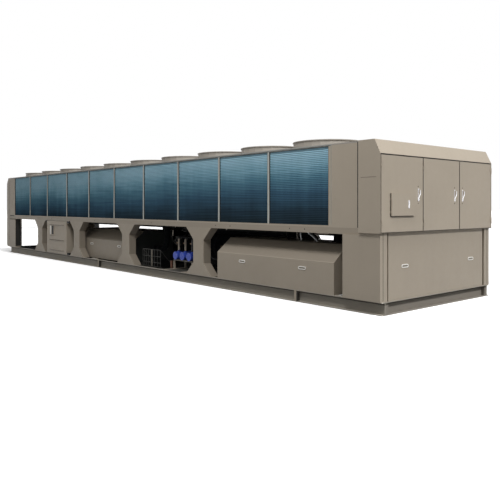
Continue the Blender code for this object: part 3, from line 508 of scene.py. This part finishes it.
def coilTree():
    tree, given = startTree("coilTubeGrid", {**tubeLook, "Origin": (0.0, 0.0, 0.0), "Finish": coilTube})
    rows = addNode(tree, "GeometryNodeMeshLine", None,
                   {"Count": given["Rows"], "Offset": vector(tree, z=given["Rise"])}).outputs[0]
    line = addNode(tree, "GeometryNodeMeshLine", None,
                   {"Count": given["Bays"], "Offset": vector(tree, x=given["Pitch"])}).outputs[0]
    size = vector(tree, given["Length"], given["Depth"], given["Thick"])
    bar = addNode(tree, "GeometryNodeMeshCube", None, {"Size": size}).outputs[0]
    run = placed(tree, line, placed(tree, rows, bar))
    moved = addNode(tree, "GeometryNodeTransform", None, {"Geometry": run, "Translation": given["Origin"]})
    endTree(tree, moved.outputs[0], given["Finish"])
    return tree


coilGrid = coilTree()
for side, face, inward in (("Near", near, 1), ("Far", far, -1)):
    origin = (baysLeft + bayPitch / 2, face + inward * tubeStart["recess"], coilLow + tubeStart["lift"])
    grown = growTree("coilTubes" + side, coilGrid, {**tubeLook, "Finish": coilTube, "Origin": origin})
    addPiece("coilTubes" + side, grown, None, "frame")
print("coil tubes")


# Dark strips beside each upright, and a dark line under the deck: painted shade in the recess of the coil openings

shadeStripLook = {"wide": 0.008, "offset": 0.018, "ends": (1.098, 2.161), "depths": (0.004, 0.03),
              "line": (0.4, 0.02, 0.0012, 2.1665, 2.1715)}


def coilShadeStrips(side, face, inward, look=shadeStripLook):
    rows = []
    bottom, top = look["ends"]
    depths = sorted(face + inward * depth for depth in look["depths"])
    for bay in range(11):
        for way in (-1, 1):
            if 0 <= bay + min(way, 0) < 10:  # the first and last uprights have one shade strip
                x = baysLeft + bay * bayPitch + way * look["offset"]
                ends = sorted((x, x + way * look["wide"]))
                rows.append(((ends[0], depths[0], bottom), (ends[1], depths[1], top)))
    inset, past, proud, bottom, top = look["line"]
    rows.append(((baseLeft + inset, face - proud, bottom), (baysRight + past, face + proud, top)))
    boxes("coilShadeStrips" + side, rows, rubberAndShadeBlack)


coilShadeStrips("Near", near, 1)
coilShadeStrips("Far", far, -1)
print("gaskets")


# Wire guards over the fans

guardLook = {"Rings": 9, "Radius": 0.512, "Wire": 0.0032, "Spokes": 8, "SpokeWire": 0.0045, "Hub": 0.075}
guardDrop, spokeDrop = 0.0075, 0.007


def guardTree():
    tree, given = startTree("fanGuard", {**guardLook, "Finish": guardWire})
    still = (0.0, 0.0, 0.0)
    line = addNode(tree, "GeometryNodeMeshLine", None, {"Count": given["Rings"], "Offset": still}).outputs[0]
    index = addNode(tree, "GeometryNodeInputIndex").outputs[0]
    last = math2(tree, "SUBTRACT", given["Rings"], 1.0)
    reach = remap(tree, index, 0.0, last, given["Hub"], given["Radius"])
    hoop = addNode(tree, "GeometryNodeCurvePrimitiveCircle", None, {"Resolution": 32, "Radius": 1.0}).outputs[0]
    hoops = addNode(tree, "GeometryNodeRealizeInstances", None, {"Geometry": placed(tree, line, hoop, Scale=reach)})
    wire = addNode(tree, "GeometryNodeCurvePrimitiveCircle", None, {"Resolution": 5, "Radius": given["Wire"]})
    wires = addNode(tree, "GeometryNodeCurveToMesh", None,
                    {"Curve": hoops.outputs[0], "Profile Curve": wire.outputs[0]}).outputs[0]
    spots = addNode(tree, "GeometryNodeMeshLine", None, {"Count": given["Spokes"], "Offset": still}).outputs[0]
    turn = times(tree, index, math2(tree, "DIVIDE", math.tau, given["Spokes"]))
    bar = addNode(tree, "GeometryNodeCurvePrimitiveLine", None,
                  {"Start": vector(tree, x=given["Hub"]), "End": vector(tree, x=given["Radius"])})
    wire = addNode(tree, "GeometryNodeCurvePrimitiveCircle", None, {"Resolution": 5, "Radius": given["SpokeWire"]})
    spoke = addNode(tree, "GeometryNodeCurveToMesh", None,
                    {"Curve": bar.outputs[0], "Profile Curve": wire.outputs[0], "Fill Caps": True}).outputs[0]
    fan = placed(tree, spots, spoke, Rotation=vector(tree, z=turn))
    drop = addNode(tree, "GeometryNodeTransform", None, {"Geometry": fan, "Translation": (0.0, 0.0, -spokeDrop)})
    both = addNode(tree, "GeometryNodeJoinGeometry")
    tree.links.new(wires, both.inputs[0])
    tree.links.new(drop.outputs[0], both.inputs[0])
    whole = placed(tree, tree.nodes["Group Input"].outputs["Geometry"], both.outputs[0])
    endTree(tree, whole, given["Finish"], smooth=True)
    return tree


fanCentres = [(baysLeft + (bay + 0.5) * bayPitch, near + (far - near) * (row + 0.5) / 2)
              for bay in range(10) for row in range(2)]
guardPoints = [((x, y, ringTop - guardDrop), (0.0, 0.0, 1.0)) for x, y in fanCentres]
guards = growTree("fanGuards", guardTree(), {**guardLook, "Finish": guardWire}, guardPoints)
addPiece("fanGuards", guards, None, "frame")
print("fan guards")


# Screws and bolts

def screwTree():
    sizes = {"Head": 0.007, "Rise": 0.003, "Sides": 8, "Finish": zincBolt}
    tree, given = startTree("screwField", sizes)
    head = addNode(tree, "GeometryNodeMeshCone", {"fill_type": "NGON"},
                   {"Vertices": given["Sides"], "Radius Bottom": given["Head"], "Depth": given["Rise"],
                    "Radius Top": times(tree, given["Head"], 0.7)}).outputs[0]
    facing = addNode(tree, "GeometryNodeInputNamedAttribute", {"data_type": "FLOAT_VECTOR"}, {"Name": "facing"})
    turn = addNode(tree, "FunctionNodeAlignRotationToVector", {"axis": "Z"}, {"Vector": facing.outputs[0]})
    field = placed(tree, tree.nodes["Group Input"].outputs["Geometry"], head, Rotation=turn.outputs[0])
    endTree(tree, field, given["Finish"])
    return tree


screwGroup = screwTree()


screwLook = {
    "panel": {"Head": 0.006, "Rise": 0.002}, "rail": {"Head": 0.011, "Rise": 0.003},
    "stud": {"Head": 0.012, "Rise": 0.022}, "ring": {"Head": 0.008, "Rise": 0.004},
    "lever": {"Head": 0.009, "Rise": 0.003}, "foot": {"Head": 0.012, "Rise": 0.009},
}
fixingLook = {
    "upright": 0.06, "leg": (0.05, 0.035), "post": (0.04, (0.22, 0.95)), "blank": (0.1, (1.13, 2.12)),
    "railX": (3.441, 5.201, 5.5), "rail": (0.3, 0.046), "studX": (2.19, 3.70), "stud": (0.03, 0.001),
    "end_housing": (0.03, (0.22, 0.97)), "end_panel": (0.05, (0.21, 0.97)), "end_cover": (0.05, (0.3, 2.1)),
    "ring": (0.55, 8), "foot": (0.06, 0.03),
}
toEnd = (1.0, 0.0, 0.0)
upward = (0.0, 0.0, 1.0)
housing, panel = "end_housing", "end_panel"


def screwRow(start, end, count, normal):
    start, end = Vector(start), Vector(end)
    return [(tuple(start.lerp(end, n / (count - 1))), normal) for n in range(count)]


def screwColumn(x, y, levels, count, normal):
    return screwRow((x, y, levels[0]), (x, y, levels[1]), count, normal)


def addScrews(name, points, kind, mat, body="frame"):
    sizes = {**screwLook[kind], "Sides": 8, "Finish": mat}
    return addPiece(name, growTree(name, screwGroup, sizes, points), None, body)


def sideScrews(side, face, way, look=fixingLook):
    normal = (0.0, way, 0.0)
    rows = []
    for bay in range(11):
        ends = (coilLow + look["upright"], coilHigh - look["upright"])
        rows += screwColumn(baysLeft + bay * bayPitch, face, ends, 5, normal)
    inset, edge = look["leg"]
    for number in range(1, 5):
        leg = f"leg_{side.lower()}_{number}"
        for z in (high[leg].z - edge, low[leg].z + edge):
            rows += screwRow((low[leg].x + inset, face, z), (high[leg].x - inset, face, z), 4, normal)
    for start, kind in ((low["corner_post_" + side.lower()].x, "post"), (baysRight, "blank")):
        inset, ends = look[kind]
        rows += screwColumn(start + inset, face, ends, 4, normal)
    addScrews("panelScrews" + side, rows, "panel", shadePaint)
    inset, lift = look["rail"]
    spots = [*look["railX"], *(baysLeft + bay * bayPitch + inset for bay in range(0, 10, 2))]
    addScrews("railScrews" + side, [((x, face, railLow + lift), normal) for x in spots], "rail", darkScrew)
    y, z = face - way * look["stud"][0], railLow - look["stud"][1]
    addScrews("railStuds" + side, [((x, y, z), (0.0, 0.0, -1.0)) for x in look["studX"]], "stud", paleSteel)


def endColumns(name, x, count, normal, look=fixingLook):
    inset, ends = look[name]
    rows = []
    for y in (low[name].y + inset, high[name].y - inset):
        rows += screwColumn(x, y, ends, count, normal)
    return rows


def endScrews():
    bolts = endColumns(housing, high[housing].x, 5, toEnd) + endColumns(panel, high[panel].x, 5, toEnd)
    addScrews("housingScrews", bolts, "panel", doorPaint)
    addScrews("endCoverScrews", endColumns("end_cover", low["end_cover"].x, 7, (-1.0, 0.0, 0.0)), "panel", shadePaint)


def ringBolts(look=fixingLook):
    (reach, count), z = look["ring"], high["fan_set_1"].z
    angles = [math.tau * (step + 0.5) / count for step in range(count)]
    bolts = [((x + reach * math.cos(angle), y + reach * math.sin(angle), z), upward)
             for x, y in fanCentres for angle in angles]
    addScrews("ringBolts", bolts, "ring", zincBolt)
sideScrews("Near", near, -1.0)
sideScrews("Far", far, 1.0)
endScrews()
ringBolts()
footBolts = []
inset, back = fixingLook["foot"]
for side, y in (("near", near + back), ("far", far - back)):
    for number in range(1, 5):
        leg = f"leg_{side}_{number}"
        footBolts += screwRow((low[leg].x + inset, y, baseTop), (high[leg].x - inset, y, baseTop), 4, upward)
print("screws")


# Flush pulls on the lift-off covers: a pale rim round a dished well, the well painted darker as shade

pullLook = {"length": 0.15, "tall": 0.046, "rim": 0.012, "rise": 0.006, "steps": 6, "height": 0.487}


def stadium(work, centre, across, out, rings, look=pullLook):
    centre, across, out = Vector(centre), Vector(across), Vector(out)
    up = Vector(upward)
    radius = look["tall"] / 2
    straight = look["length"] / 2 - radius
    loops = []
    for shrink, lift in rings:
        found = []
        for side in (1, -1):
            for step in range(look["steps"] + 1):
                angle = math.pi * (step / look["steps"] - 0.5) + (0 if side > 0 else math.pi)
                spot = centre + across * (side * straight + (radius - shrink) * math.cos(angle))
                found.append(work.verts.new(spot + up * (radius - shrink) * math.sin(angle) + out * lift))
        loops.append(found)
    return loops


def joinLoops(work, first, second):
    count = len(first)
    for n in range(count):
        work.faces.new((first[n], first[(n + 1) % count], second[(n + 1) % count], second[n]))


def pullRim(work, centre, across, out, look=pullLook):
    rings = [(0.0, 0.0003), (0.001, look["rise"]), (look["rim"] - 0.001, look["rise"]), (look["rim"], 0.0003)]
    loops = stadium(work, centre, across, out, rings)
    for first, second in zip(loops, loops[1:] + loops[:1]):
        joinLoops(work, first, second)


def pullWell(work, centre, across, out, look=pullLook):
    loops = stadium(work, centre, across, out, [(look["rim"], 0.0003), (look["rim"], 0.0015)])
    joinLoops(work, *loops)
    work.faces.new(loops[0])
    work.faces.new(loops[1])
pullPlaces = [((high[panel].x, y, 0.588), (0, 1, 0), (1, 0, 0)) for y in (-0.812, 0.822)]
for cover in ("compressor_cover_2", "compressor_cover_1"):
    for share in (0.25, 0.768):
        x = low[cover].x + (high[cover].x - low[cover].x) * share
        pullPlaces.append(((x, low[cover].y, pullLook["height"]), (1, 0, 0), (0, -1, 0)))


def allPulls(shape):
    def fill(work):
        for place in pullPlaces:
            shape(work, *place)
    return fill


buildMesh("pullRims", allPulls(pullRim), pullPlastic)
buildMesh("pullWells", allPulls(pullWell), wellShadePaint)
print("pulls")


# Folded seams and joint lines of the sheet metal as dark strips; at the left end, the line just under the rail is
# painted shadow

seamLook = {
    "proud": 0.0012, "sunk": 0.002, "cabinet": (6.66, 1.72, 0.24, 0.003), "housingInset": 0.06,
    "sides": ((6.452, 1.63, 0.026, 1.1), (-6.39, 0.98, 0.46, 0.018), (-6.643, 1.25, 0.006, 1.8),
              (-6.42, 1.08, 0.36, 0.018)),
    "housing": (0.61, 0.006, 0.86), "endCover": (0.7, 1.25, 1.8), "endCoverSize": (2.4, 0.006),
    "stripX": 0.03, "strip": (1.63, 0.022, 1.05),
}


def seamX(x, y, z, wide, tall, out):
    ends = sorted((y - out * seamLook["sunk"], y + out * seamLook["proud"]))
    return ((x - wide / 2, ends[0], z - tall / 2), (x + wide / 2, ends[1], z + tall / 2))


def seamY(x, y, z, wide, tall, out):
    ends = sorted((x - out * seamLook["sunk"], x + out * seamLook["proud"]))
    return ((ends[0], y - wide / 2, z - tall / 2), (ends[1], y + wide / 2, z + tall / 2))


def panelSeams(look=seamLook):
    x, *rest = look["cabinet"]
    rows = [seamX(x, y, *rest, out) for y, out in ((low["cabinet_shell"].y, -1), (high["cabinet_shell"].y, 1))]
    for y, out in ((near, -1), (far, 1)):
        rows += [seamX(x, y, *rest, out) for x, *rest in look["sides"]]
    inset = look["housingInset"]
    for y in (low[housing].y + inset, high[housing].y - inset):
        rows.append(seamY(high[housing].x, y, *look["housing"], 1))
    rows += [seamY(low["end_cover"].x, 0.0, z, *look["endCoverSize"], -1) for z in look["endCover"]]
    boxes("panelSeams", rows, rubberAndShadeBlack)
    x = baysRight + look["stripX"]
    boxes("coilEndStrips", [seamX(x, y, *look["strip"], out) for y, out in ((near, -1), (far, 1))], paleSteel)


panelSeams()
print("seams")


# Control box beside the second leg: pressed folds with painted shadow strips under them, a bar handle and its dark
# recess, and painted shade in the notches at its corners

sideBoxLook = {
    "folds": (0.885, 0.505, 0.255), "ends": (-3.60, -2.71), "foldShadow": (0.0035, -0.004, 0.004),
    "lip": (0.0045, -0.016, -0.005), "sunk": 0.001, "handle": ((-3.535, 0.635), (-3.478, 0.862), 0.014),
    "recess": ((-3.452, 0.645), (-3.332, 0.862), 0.002), "gapDepths": (-0.002, 0.06),
    "gaps": ((-2.535, -2.42, 0.94, 0.988), (-2.535, -2.43, 0.168, 0.215), (-3.885, -3.805, 0.945, 0.988)),
}


def sideBoxFront(look=sideBoxLook):
    front = low["side_box"].y
    back = front + look["sunk"]
    # painted shadow: a dark strip along each fold
    for name, kind, mat, edge in (("sideBoxFoldShadows", "foldShadow", rubberAndShadeBlack, 0.0), ("sideBoxLips", "lip", tanPaint, 0.002)):
        proud, under, over = look[kind]
        left, right = look["ends"]
        rows = [((left, front - proud, z + under), (right, back, z + over)) for z in look["folds"]]
        boxes(name, rows, mat, "box_door", edge)
    (left, bottom), (right, top), proud = look["handle"]
    boxes("sideBoxHandle", [((left, front - proud, bottom), (right, front, top))], pullPlastic, "box_door", 0.005)
    (left, bottom), (right, top), proud = look["recess"]
    boxes("sideBoxRecess", [((left, front - proud, bottom), (right, back, top))], rubberAndShadeBlack, "box_door", 0.0008)
    # painted shade: dark blocks in the notches at the box corners
    outer, inner = (near + depth for depth in look["gapDepths"])
    gaps = [((left, outer, bottom), (right, inner, top)) for left, right, bottom, top in look["gaps"]]
    boxes("sideBoxGapShades", gaps, rubberAndShadeBlack)


sideBoxFront()
print("control box")


# Cabinet: gaskets behind the leaves, dark strips round their faces as painted shade of the gaps at their edges, and
# screws beside the levers

leafLook = {"inset": 0.018, "wide": 0.014, "thick": 0.003, "lap": 0.0005, "leaf": 0.025, "sunk": 0.002,
            "proud": 0.0008, "topShade": 0.009, "lowShade": 0.006, "sideShade": 0.0045, "screwGap": 0.03}
doorBack = low["cabinet_door_left"].x
doorFace = doorBack + leafLook["leaf"]


def leafFittings(side, look=leafLook):
    leaf, lever = "cabinet_door_" + side, "door_latch_" + side
    start, end = low[leaf], high[leaf]
    inset, wide, gap = look["inset"], look["wide"], look["screwGap"]
    left, bottom, right, top = start.y + inset, start.z + inset, end.y - inset, end.z - inset
    back, front = doorBack - look["thick"], doorBack + look["lap"]
    rows = [((back, y, bottom), (front, y + wide, top)) for y in (left, right - wide)]
    rows += [((back, left + wide, z), (front, right - wide, z + wide)) for z in (bottom, top - wide)]
    boxes("leafGasket" + side.title(), rows, rubberAndShadeBlack, "door_" + side)

    # painted shade: dark strips round each leaf's face stand for the shade in the gaps at its edges
    lap, wide = look["lap"], look["sideShade"]
    left, bottom, right, top = start.y + lap, start.z + lap, end.y - lap, end.z - lap
    back, front = doorFace - look["sunk"], doorFace + look["proud"]
    under, over = bottom + look["lowShade"], top - look["topShade"]
    rows = [((back, left, over), (front, right, top)), ((back, left, bottom), (front, right, under))]
    rows += [((back, y, under), (front, y + wide, over)) for y in (left, right - wide)]
    boxes("leafShadeTrim" + side.title(), rows, rubberAndShadeBlack, "door_" + side)

    y = (low[lever].y + high[lever].y) / 2
    spots = [((doorFace, y, z), toEnd) for z in (low[lever].z - gap, high[lever].z + gap)]
    addScrews("leverScrews" + side.title(), spots, "lever", darkScrew, "door_" + side)


for side in ("left", "middle", "right"):
    leafFittings(side)

hatchShadowLook = {"under": 0.009, "beside": 0.004, "inset": 0.001, "sunk": 0.001, "proud": 0.002}
hoodLook = {"depths": (6.79, 6.832), "reach": 1.355, "gap": 0.0005, "thick": 0.005}


def doorShadows(look=hatchShadowLook, hood=hoodLook):
    # painted shadow: dark strips along the hatch's left edge and below it, where the raised hatch casts its shadow
    corner, end = low["operator_hatch"], high["operator_hatch"]
    back, front, under = doorFace - look["sunk"], doorFace + look["proud"], corner.z - look["under"]
    rows = [((back, corner.y + look["inset"], under), (front, end.y, corner.z)),
            ((back, corner.y - look["beside"], under), (front, corner.y + look["beside"], end.z))]
    boxes("hatchShadowStrips", rows, rubberAndShadeBlack, "door_left")
    # painted shade: a dark strip in the gap between the door tops and the hood
    (back, front), reach, top = hood["depths"], hood["reach"], high["cabinet_door_left"].z
    rows = [((back, -reach, top + hood["gap"]), (front, reach, top + hood["thick"]))]
    boxes("hoodShadeStrip", rows, rubberAndShadeBlack)


doorShadows()
print("door fittings")


# Switchgear on plates behind each door, and terminals in the side box

gearLook = {
    "bays": ((-1.24, -0.54, 6), (-0.37, 0.37, 4), (0.54, 1.24, 7)), "plate": (0.008, 0.004, 1.12, 1.92),
    "ducts": (1.15, 1.41, 1.67, 1.87), "duct": (0.03, 0.06, 0.04), "rows": (1.22, 1.48, 1.735),
    "block": (0.05, 0.82, 0.085, 0.12), "dial": (0.2, 0.62, 0.04, 0.085, 0.1),
}


def switchgear(look=gearLook):
    lift, thick, bottom, top = look["plate"]
    inset, ductDeep, ductTall = look["duct"]
    edge, share, deep, tall = look["block"]
    dialLeft, dialRight, dialLow, dialHigh, dialDeep = look["dial"]
    back = low["cabinet_shell"].x + lift
    face, front, dial = back + thick, back + deep, back + dialDeep
    plates, trunks, devices, faces = [], [], [], []
    for start, end, count in look["bays"]:
        plates.append(((back, start, bottom), (face, end, top)))
        trunks += [((face, start + inset, z), (back + ductDeep, end - inset, z + ductTall)) for z in look["ducts"]]
        step = (end - start - 2 * edge) / count
        for row, z in enumerate(look["rows"]):
            for n in range(count - row % 2):
                y = start + edge + n * step
                devices.append(((face, y, z), (front, y + step * share, z + tall)))
                faces.append(((front, y + step * dialLeft, z + dialLow), (dial, y + step * dialRight, z + dialHigh)))
    boxes("mountingPlates", plates, plateZinc)
    boxes("wiringDucts", trunks, gearGrey, edge=0.003)
    boxes("switchBlocks", devices, gearPlastic, edge=0.004)
    boxes("switchFaces", faces, gearGrey, edge=0.002)


terminalLook = {"plate": (-3.70, -2.66, 0.3, 0.88), "rows": (0.36, 0.56, 0.76), "strip": (-3.62, -2.75, 0.05),
                "depths": (0.004, 0.01, 0.05)}


def sideBoxGear(look=terminalLook):
    wall, face, front = (high["side_box"].y - depth for depth in look["depths"])
    left, right, bottom, top = look["plate"]
    boxes("sideBoxPlate", [((left, face, bottom), (right, wall, top))], plateZinc)
    left, right, tall = look["strip"]
    strips = [((left, front, z), (right, face, z + tall)) for z in look["rows"]]
    boxes("sideBoxTerminals", strips, gearGrey, edge=0.003)


switchgear()
sideBoxGear()
print("switchgear")


# Small pipework and fittings seen between the legs

drierLook = {"x": (1.956, 2.176, 2.396), "y": -1.05, "collar": (0.512, 0.532, 0.027),
             "cap": (0.012, 0.065, 0.665, 0.013), "cradleY": (-0.99, -0.9), "cradle": (0.0775, 0.025, 0.35, 0.43)}


def drierFittings(look=drierLook):
    y = look["y"]
    bottom, top, radius = look["collar"]
    rods("drierCollars", [((x, y, bottom), (x, y, top), radius) for x in look["x"]], innerShadeSteel, sides=12)
    start, end, z, radius = look["cap"]
    rods("valveCaps", [((x - start, y, z), (x - end, y, z), radius) for x in look["x"]], brassBody, sides=8)
    half, deep, bottom, top = look["cradle"]
    rows = [((x - half, y, bottom), (x + half, y + deep, top)) for x in look["x"] for y in look["cradleY"]]
    boxes("drierCradles", rows, innerShadeSteel, edge=0.003)


guardFenceLook = {
    "ends": (0.80, 1.46), "levels": (0.166, 0.50), "plane": -1.15, "wire": 0.004, "brace": 0.3,
    "uprights": (0.80, 0.87, 0.94, 1.02, 1.10, 1.24, 1.35, 1.46), "bars": (0.25, 0.37, 0.50),
    "post": (1.155, 0.006, 0.007), "foot": (0.02, 0.03, 0.008),
}


def guardFence(look=guardFenceLook):
    y, wire = look["plane"], look["wire"]
    (left, right), (bottom, top) = look["ends"], look["levels"]
    rows = [((x, y, bottom), (x, y, top), wire) for x in look["uprights"]]
    rows += [((left, y, z), (right, y, z), wire) for z in look["bars"]]
    rows += [((x, y, top), (x, y + look["brace"], bottom), wire) for x in (left, right)]
    rods("guardFence", rows, guardWire, sides=8)
    x, forward, radius = look["post"]
    rods("fencePost", [((x, y - forward, bottom), (x, y - forward, top), radius)], paleSteel, sides=8)
    wide, deep, thick = look["foot"]
    foot = ((left - wide, y - deep, baseTop), (right + wide, y + deep, baseTop + thick))
    boxes("fenceFoot", [foot], innerShadeSteel, edge=0.002)


drierFittings()
guardFence()
print("drier fittings and fence")

# Each line: its name, the points it passes, its radius and its finish
smallLines = [
    ("gaugeLine", [(1.753, -1.05, 0.90), (1.753, -1.05, 0.85), (1.753, -1.05, 0.79)], 0.011, paleSteel),
    ("gaugeStem", [(1.753, -1.05, 0.99), (1.753, -1.05, 0.9), (1.753, -1.05, 0.7), (1.83, -1.0, 0.62),
                   (1.9, -0.95, 0.5)], 0.007, innerShadeSteel),
    ("chargeLine", [(1.82, -0.72, 0.99), (1.83, -0.74, 0.85), (1.95, -0.78, 0.80), (2.10, -0.78, 0.79)],
     0.014, innerShadeSteel),
    ("sensorLine", [(2.30, -0.66, 0.99), (2.28, -0.66, 0.88), (2.18, -0.68, 0.83), (2.12, -0.70, 0.79)],
     0.012, copperPipe),
    ("oilLineA", [(4.78, -0.74, 0.99), (4.80, -0.75, 0.92), (4.81, -0.75, 0.82)], 0.014, paleSteel),
    ("oilLineB", [(4.86, -0.74, 0.99), (4.87, -0.75, 0.93), (4.89, -0.75, 0.82)], 0.012, plateZinc),
    ("oilLineC", [(5.02, -0.74, 0.99), (5.05, -0.75, 0.95), (5.13, -0.75, 0.905), (5.24, -0.75, 0.82)],
     0.02, plateZinc),
    ("oilLineD", [(5.14, -0.72, 0.99), (5.17, -0.74, 0.95), (5.26, -0.76, 0.9), (5.33, -0.78, 0.82)],
     0.012, paleSteel),
    ("oilLineE", [(4.60, -0.8, 0.99), (4.62, -0.8, 0.9), (4.66, -0.8, 0.82)], 0.011, innerShadeSteel),
]
for name, path, radius, mat in smallLines:
    tube(name, path, radius, mat)

# Blocks as their low and high corners, stems as start, end and radius
fittingsLook = {
    "cleat": [((5.37, -0.93, 0.948), (5.59, -0.87, 0.992))],
    "valves": [((1.78, -0.84, 0.86), (1.90, -0.74, 0.95)), ((2.02, -0.83, 0.84), (2.14, -0.74, 0.93)),
               ((2.26, -0.72, 0.84), (2.36, -0.62, 0.96)), ((1.60, -0.90, 0.60), (1.74, -0.82, 0.78))],
    "spindles": [((1.84, -0.84, 0.9), (1.84, -0.9, 0.9), 0.018), ((2.08, -0.83, 0.88), (2.08, -0.89, 0.88), 0.018),
                 ((1.67, -0.9, 0.7), (1.67, -0.95, 0.7), 0.022)],
    "drains": [((1.62, -1.0, baseTop), (1.62, -1.0, 0.30), 0.022),
               ((1.72, -1.0, baseTop), (1.72, -1.0, 0.26), 0.016)],
}
boxes("plenumCleat", fittingsLook["cleat"], tanPaint, edge=0.004)
boxes("valveBlocks", fittingsLook["valves"], innerShadeSteel, edge=0.012)
rods("valveSpindles", fittingsLook["spindles"], innerShadeSteel, sides=8)
rods("drainFittings", fittingsLook["drains"], rustyBit, sides=10)
print("small pipework")


# Plates, cleats and foot bolts along the base

baseLook = {"plateFront": -1.312, "plates": ((-1.20, -0.95, -1.27, 0.02), (6.06, 6.214, -1.285, 0.012)),
            "cleat": (0.12, 0.012, 0.045, 0.006)}


def baseFittings(look=baseLook):
    front = look["plateFront"]
    rows = [((left, front, baseTop), (right, back, baseTop + thick)) for left, right, back, thick in look["plates"]]
    boxes("basePlates", rows, paleSteel, edge=0.002)
    addScrews("footBolts", footBolts, "foot", zincBolt)
    inset, back, deep, thick = look["cleat"]
    rows = []
    for number in range(1, 5):
        for side, y, inward in (("near", near + back, 1), ("far", far - back, -1)):
            leg = f"leg_{side}_{number}"
            ends = sorted((y, y + inward * deep))
            rows.append(((low[leg].x + inset, ends[0], baseTop), (high[leg].x - inset, ends[1], baseTop + thick)))
    boxes("footCleats", rows, shadePaint, edge=0.0015)


baseFittings()
print("base fittings")


# Evaporator: taped joints round the insulation, its sight ports, and a drain header behind the second cover

evaporatorLook = {"y": 0.42, "z": 0.5, "reach": 0.2925, "joints": (-2.55, -1.6, -0.65, 0.3, 1.25, 2.2, 2.85),
                  "tape": 0.02, "portIn": 0.29}
headerDrain = ((3.12, 0.3, 0.757), (4.12, 0.3, 0.757), 0.05)


def evaporatorParts(look=evaporatorLook):
    y, z, face = look["y"], look["z"], look["y"] - look["portIn"]
    tapes = [((x - look["tape"], y, z), (x + look["tape"], y, z), look["reach"]) for x in look["joints"]]
    rods("evaporatorBands", tapes, rubberAndShadeBlack, sides=48)
    ports = [((-2.0, face, z), (-2.0, y - 0.33, z), 0.03), ((1.8, face, z + 0.03), (1.8, y - 0.34, z + 0.03), 0.026)]
    rods("evaporatorPorts", ports, brassBody, sides=12)


evaporatorParts()
rods("headerDrain", [headerDrain], blackFoam, sides=20)
print("evaporator")


# Stage, lamps and camera

stageLook = {"size": 160.0, "drop": 0.002, "seen": 1.0, "glow": 0.25, "bounce": 0.14, "horizon": 0.14, "zenith": 0.5}
sunLook = {"energy": 2.5, "soft": 10.0, "towards": (-0.62, -0.04, -0.78)}
softLamps = {
    "nearLamp": {"place": (8.0, -5.9, 10.2), "aim": (3.0, -1.3, 1.0), "power": 740.0, "size": 3.0},
    "farLamp": {"place": (-4.0, 11.0, 8.0), "aim": (0.0, 1.3, 1.0), "power": 420.0, "size": 4.0},
}


def directRay(tree):
    path = addNode(tree, "ShaderNodeLightPath").outputs
    seen = math2(tree, "MAXIMUM", path["Is Camera Ray"], path["Is Glossy Ray"])
    return math2(tree, "MAXIMUM", seen, path["Is Transmission Ray"])


def studio(look=stageLook):
    scene = bpy.context.scene
    scene.view_settings.view_transform = "Standard"
    work = bmesh.new()
    bmesh.ops.create_grid(work, x_segments=1, y_segments=1, size=look["size"])
    mesh = bpy.data.meshes.new("studioFloor")
    work.to_mesh(mesh)
    work.free()
    floor = bpy.data.objects.new("studioFloor", mesh)
    floor.location.z = -look["drop"]
    scene.collection.objects.link(floor)
    mat, tree, shader, place = newMaterial("floorWhite", 0.9, 0.0, 0.1)
    speck = remap(tree, noise(tree, place, 30.0), 0.3, 0.7, 0.99, 1.0)
    tone = blendColor(tree, directRay(tree), (look["bounce"],) * 3, (look["seen"],) * 3)
    tree.links.new(blendColor(tree, speck, (0.0, 0.0, 0.0), tone), shader.inputs["Base Color"])
    shader.inputs["Emission Color"].default_value = (1.0, 1.0, 1.0, 1.0)
    tree.links.new(times(tree, directRay(tree), look["glow"]), shader.inputs["Emission Strength"])
    floor.data.materials.append(mat)

    world = bpy.data.worlds.new("studioWorld")
    scene.world = world
    world.use_nodes = True
    tree = world.node_tree
    tree.nodes.clear()
    white = (1.0, 1.0, 1.0, 1.0)
    way = addNode(tree, "ShaderNodeTexCoord").outputs["Generated"]
    climb = remap(tree, parts(tree, way)["Z"], 0.0, 1.0, look["horizon"], look["zenith"])
    soft = addNode(tree, "ShaderNodeBackground", None, {"Color": white, "Strength": climb}).outputs[0]
    plain = addNode(tree, "ShaderNodeBackground", None, {"Color": white, "Strength": 1.0}).outputs[0]
    mix = addNode(tree, "ShaderNodeMixShader", None, {0: directRay(tree), 1: soft, 2: plain})
    tree.links.new(mix.outputs[0], addNode(tree, "ShaderNodeOutputWorld").inputs["Surface"])


def addLamp(name, kind, power, place, way):
    light = bpy.data.lights.new(name, kind)
    light.energy = power
    lamp = bpy.data.objects.new(name, light)
    lamp.location = place
    lamp.rotation_mode = "QUATERNION"
    lamp.rotation_quaternion = Vector(way).to_track_quat("-Z", "Y")
    bpy.context.scene.collection.objects.link(lamp)
    return light


def addLamps():
    sun = addLamp("keySun", "SUN", sunLook["energy"], (0.0, 0.0, 20.0), sunLook["towards"])
    sun.angle = math.radians(sunLook["soft"])
    for name, look in softLamps.items():
        way = Vector(look["aim"]) - Vector(look["place"])
        lamp = addLamp(name, "AREA", look["power"], look["place"], way)
        lamp.shape = "DISK"
        lamp.size = look["size"]


cameraLook = {"place": (11.273, -7.260, 1.357), "forward": (-0.7598, 0.6502, 0.0), "lens": 42.4, "shift": -0.0877}


def aimCamera(look=cameraLook):
    camera = bpy.data.cameras.new("photoCamera")
    camera.lens = look["lens"]
    camera.sensor_width = 36.0
    camera.shift_y = look["shift"]
    camera.clip_end = 400.0
    item = bpy.data.objects.new("photoCamera", camera)
    item.location = look["place"]
    item.rotation_mode = "QUATERNION"
    item.rotation_quaternion = Vector(look["forward"]).to_track_quat("-Z", "Y")
    bpy.context.scene.collection.objects.link(item)
    bpy.context.scene.camera = item


studio()
addLamps()
aimCamera()
print("scene ready")
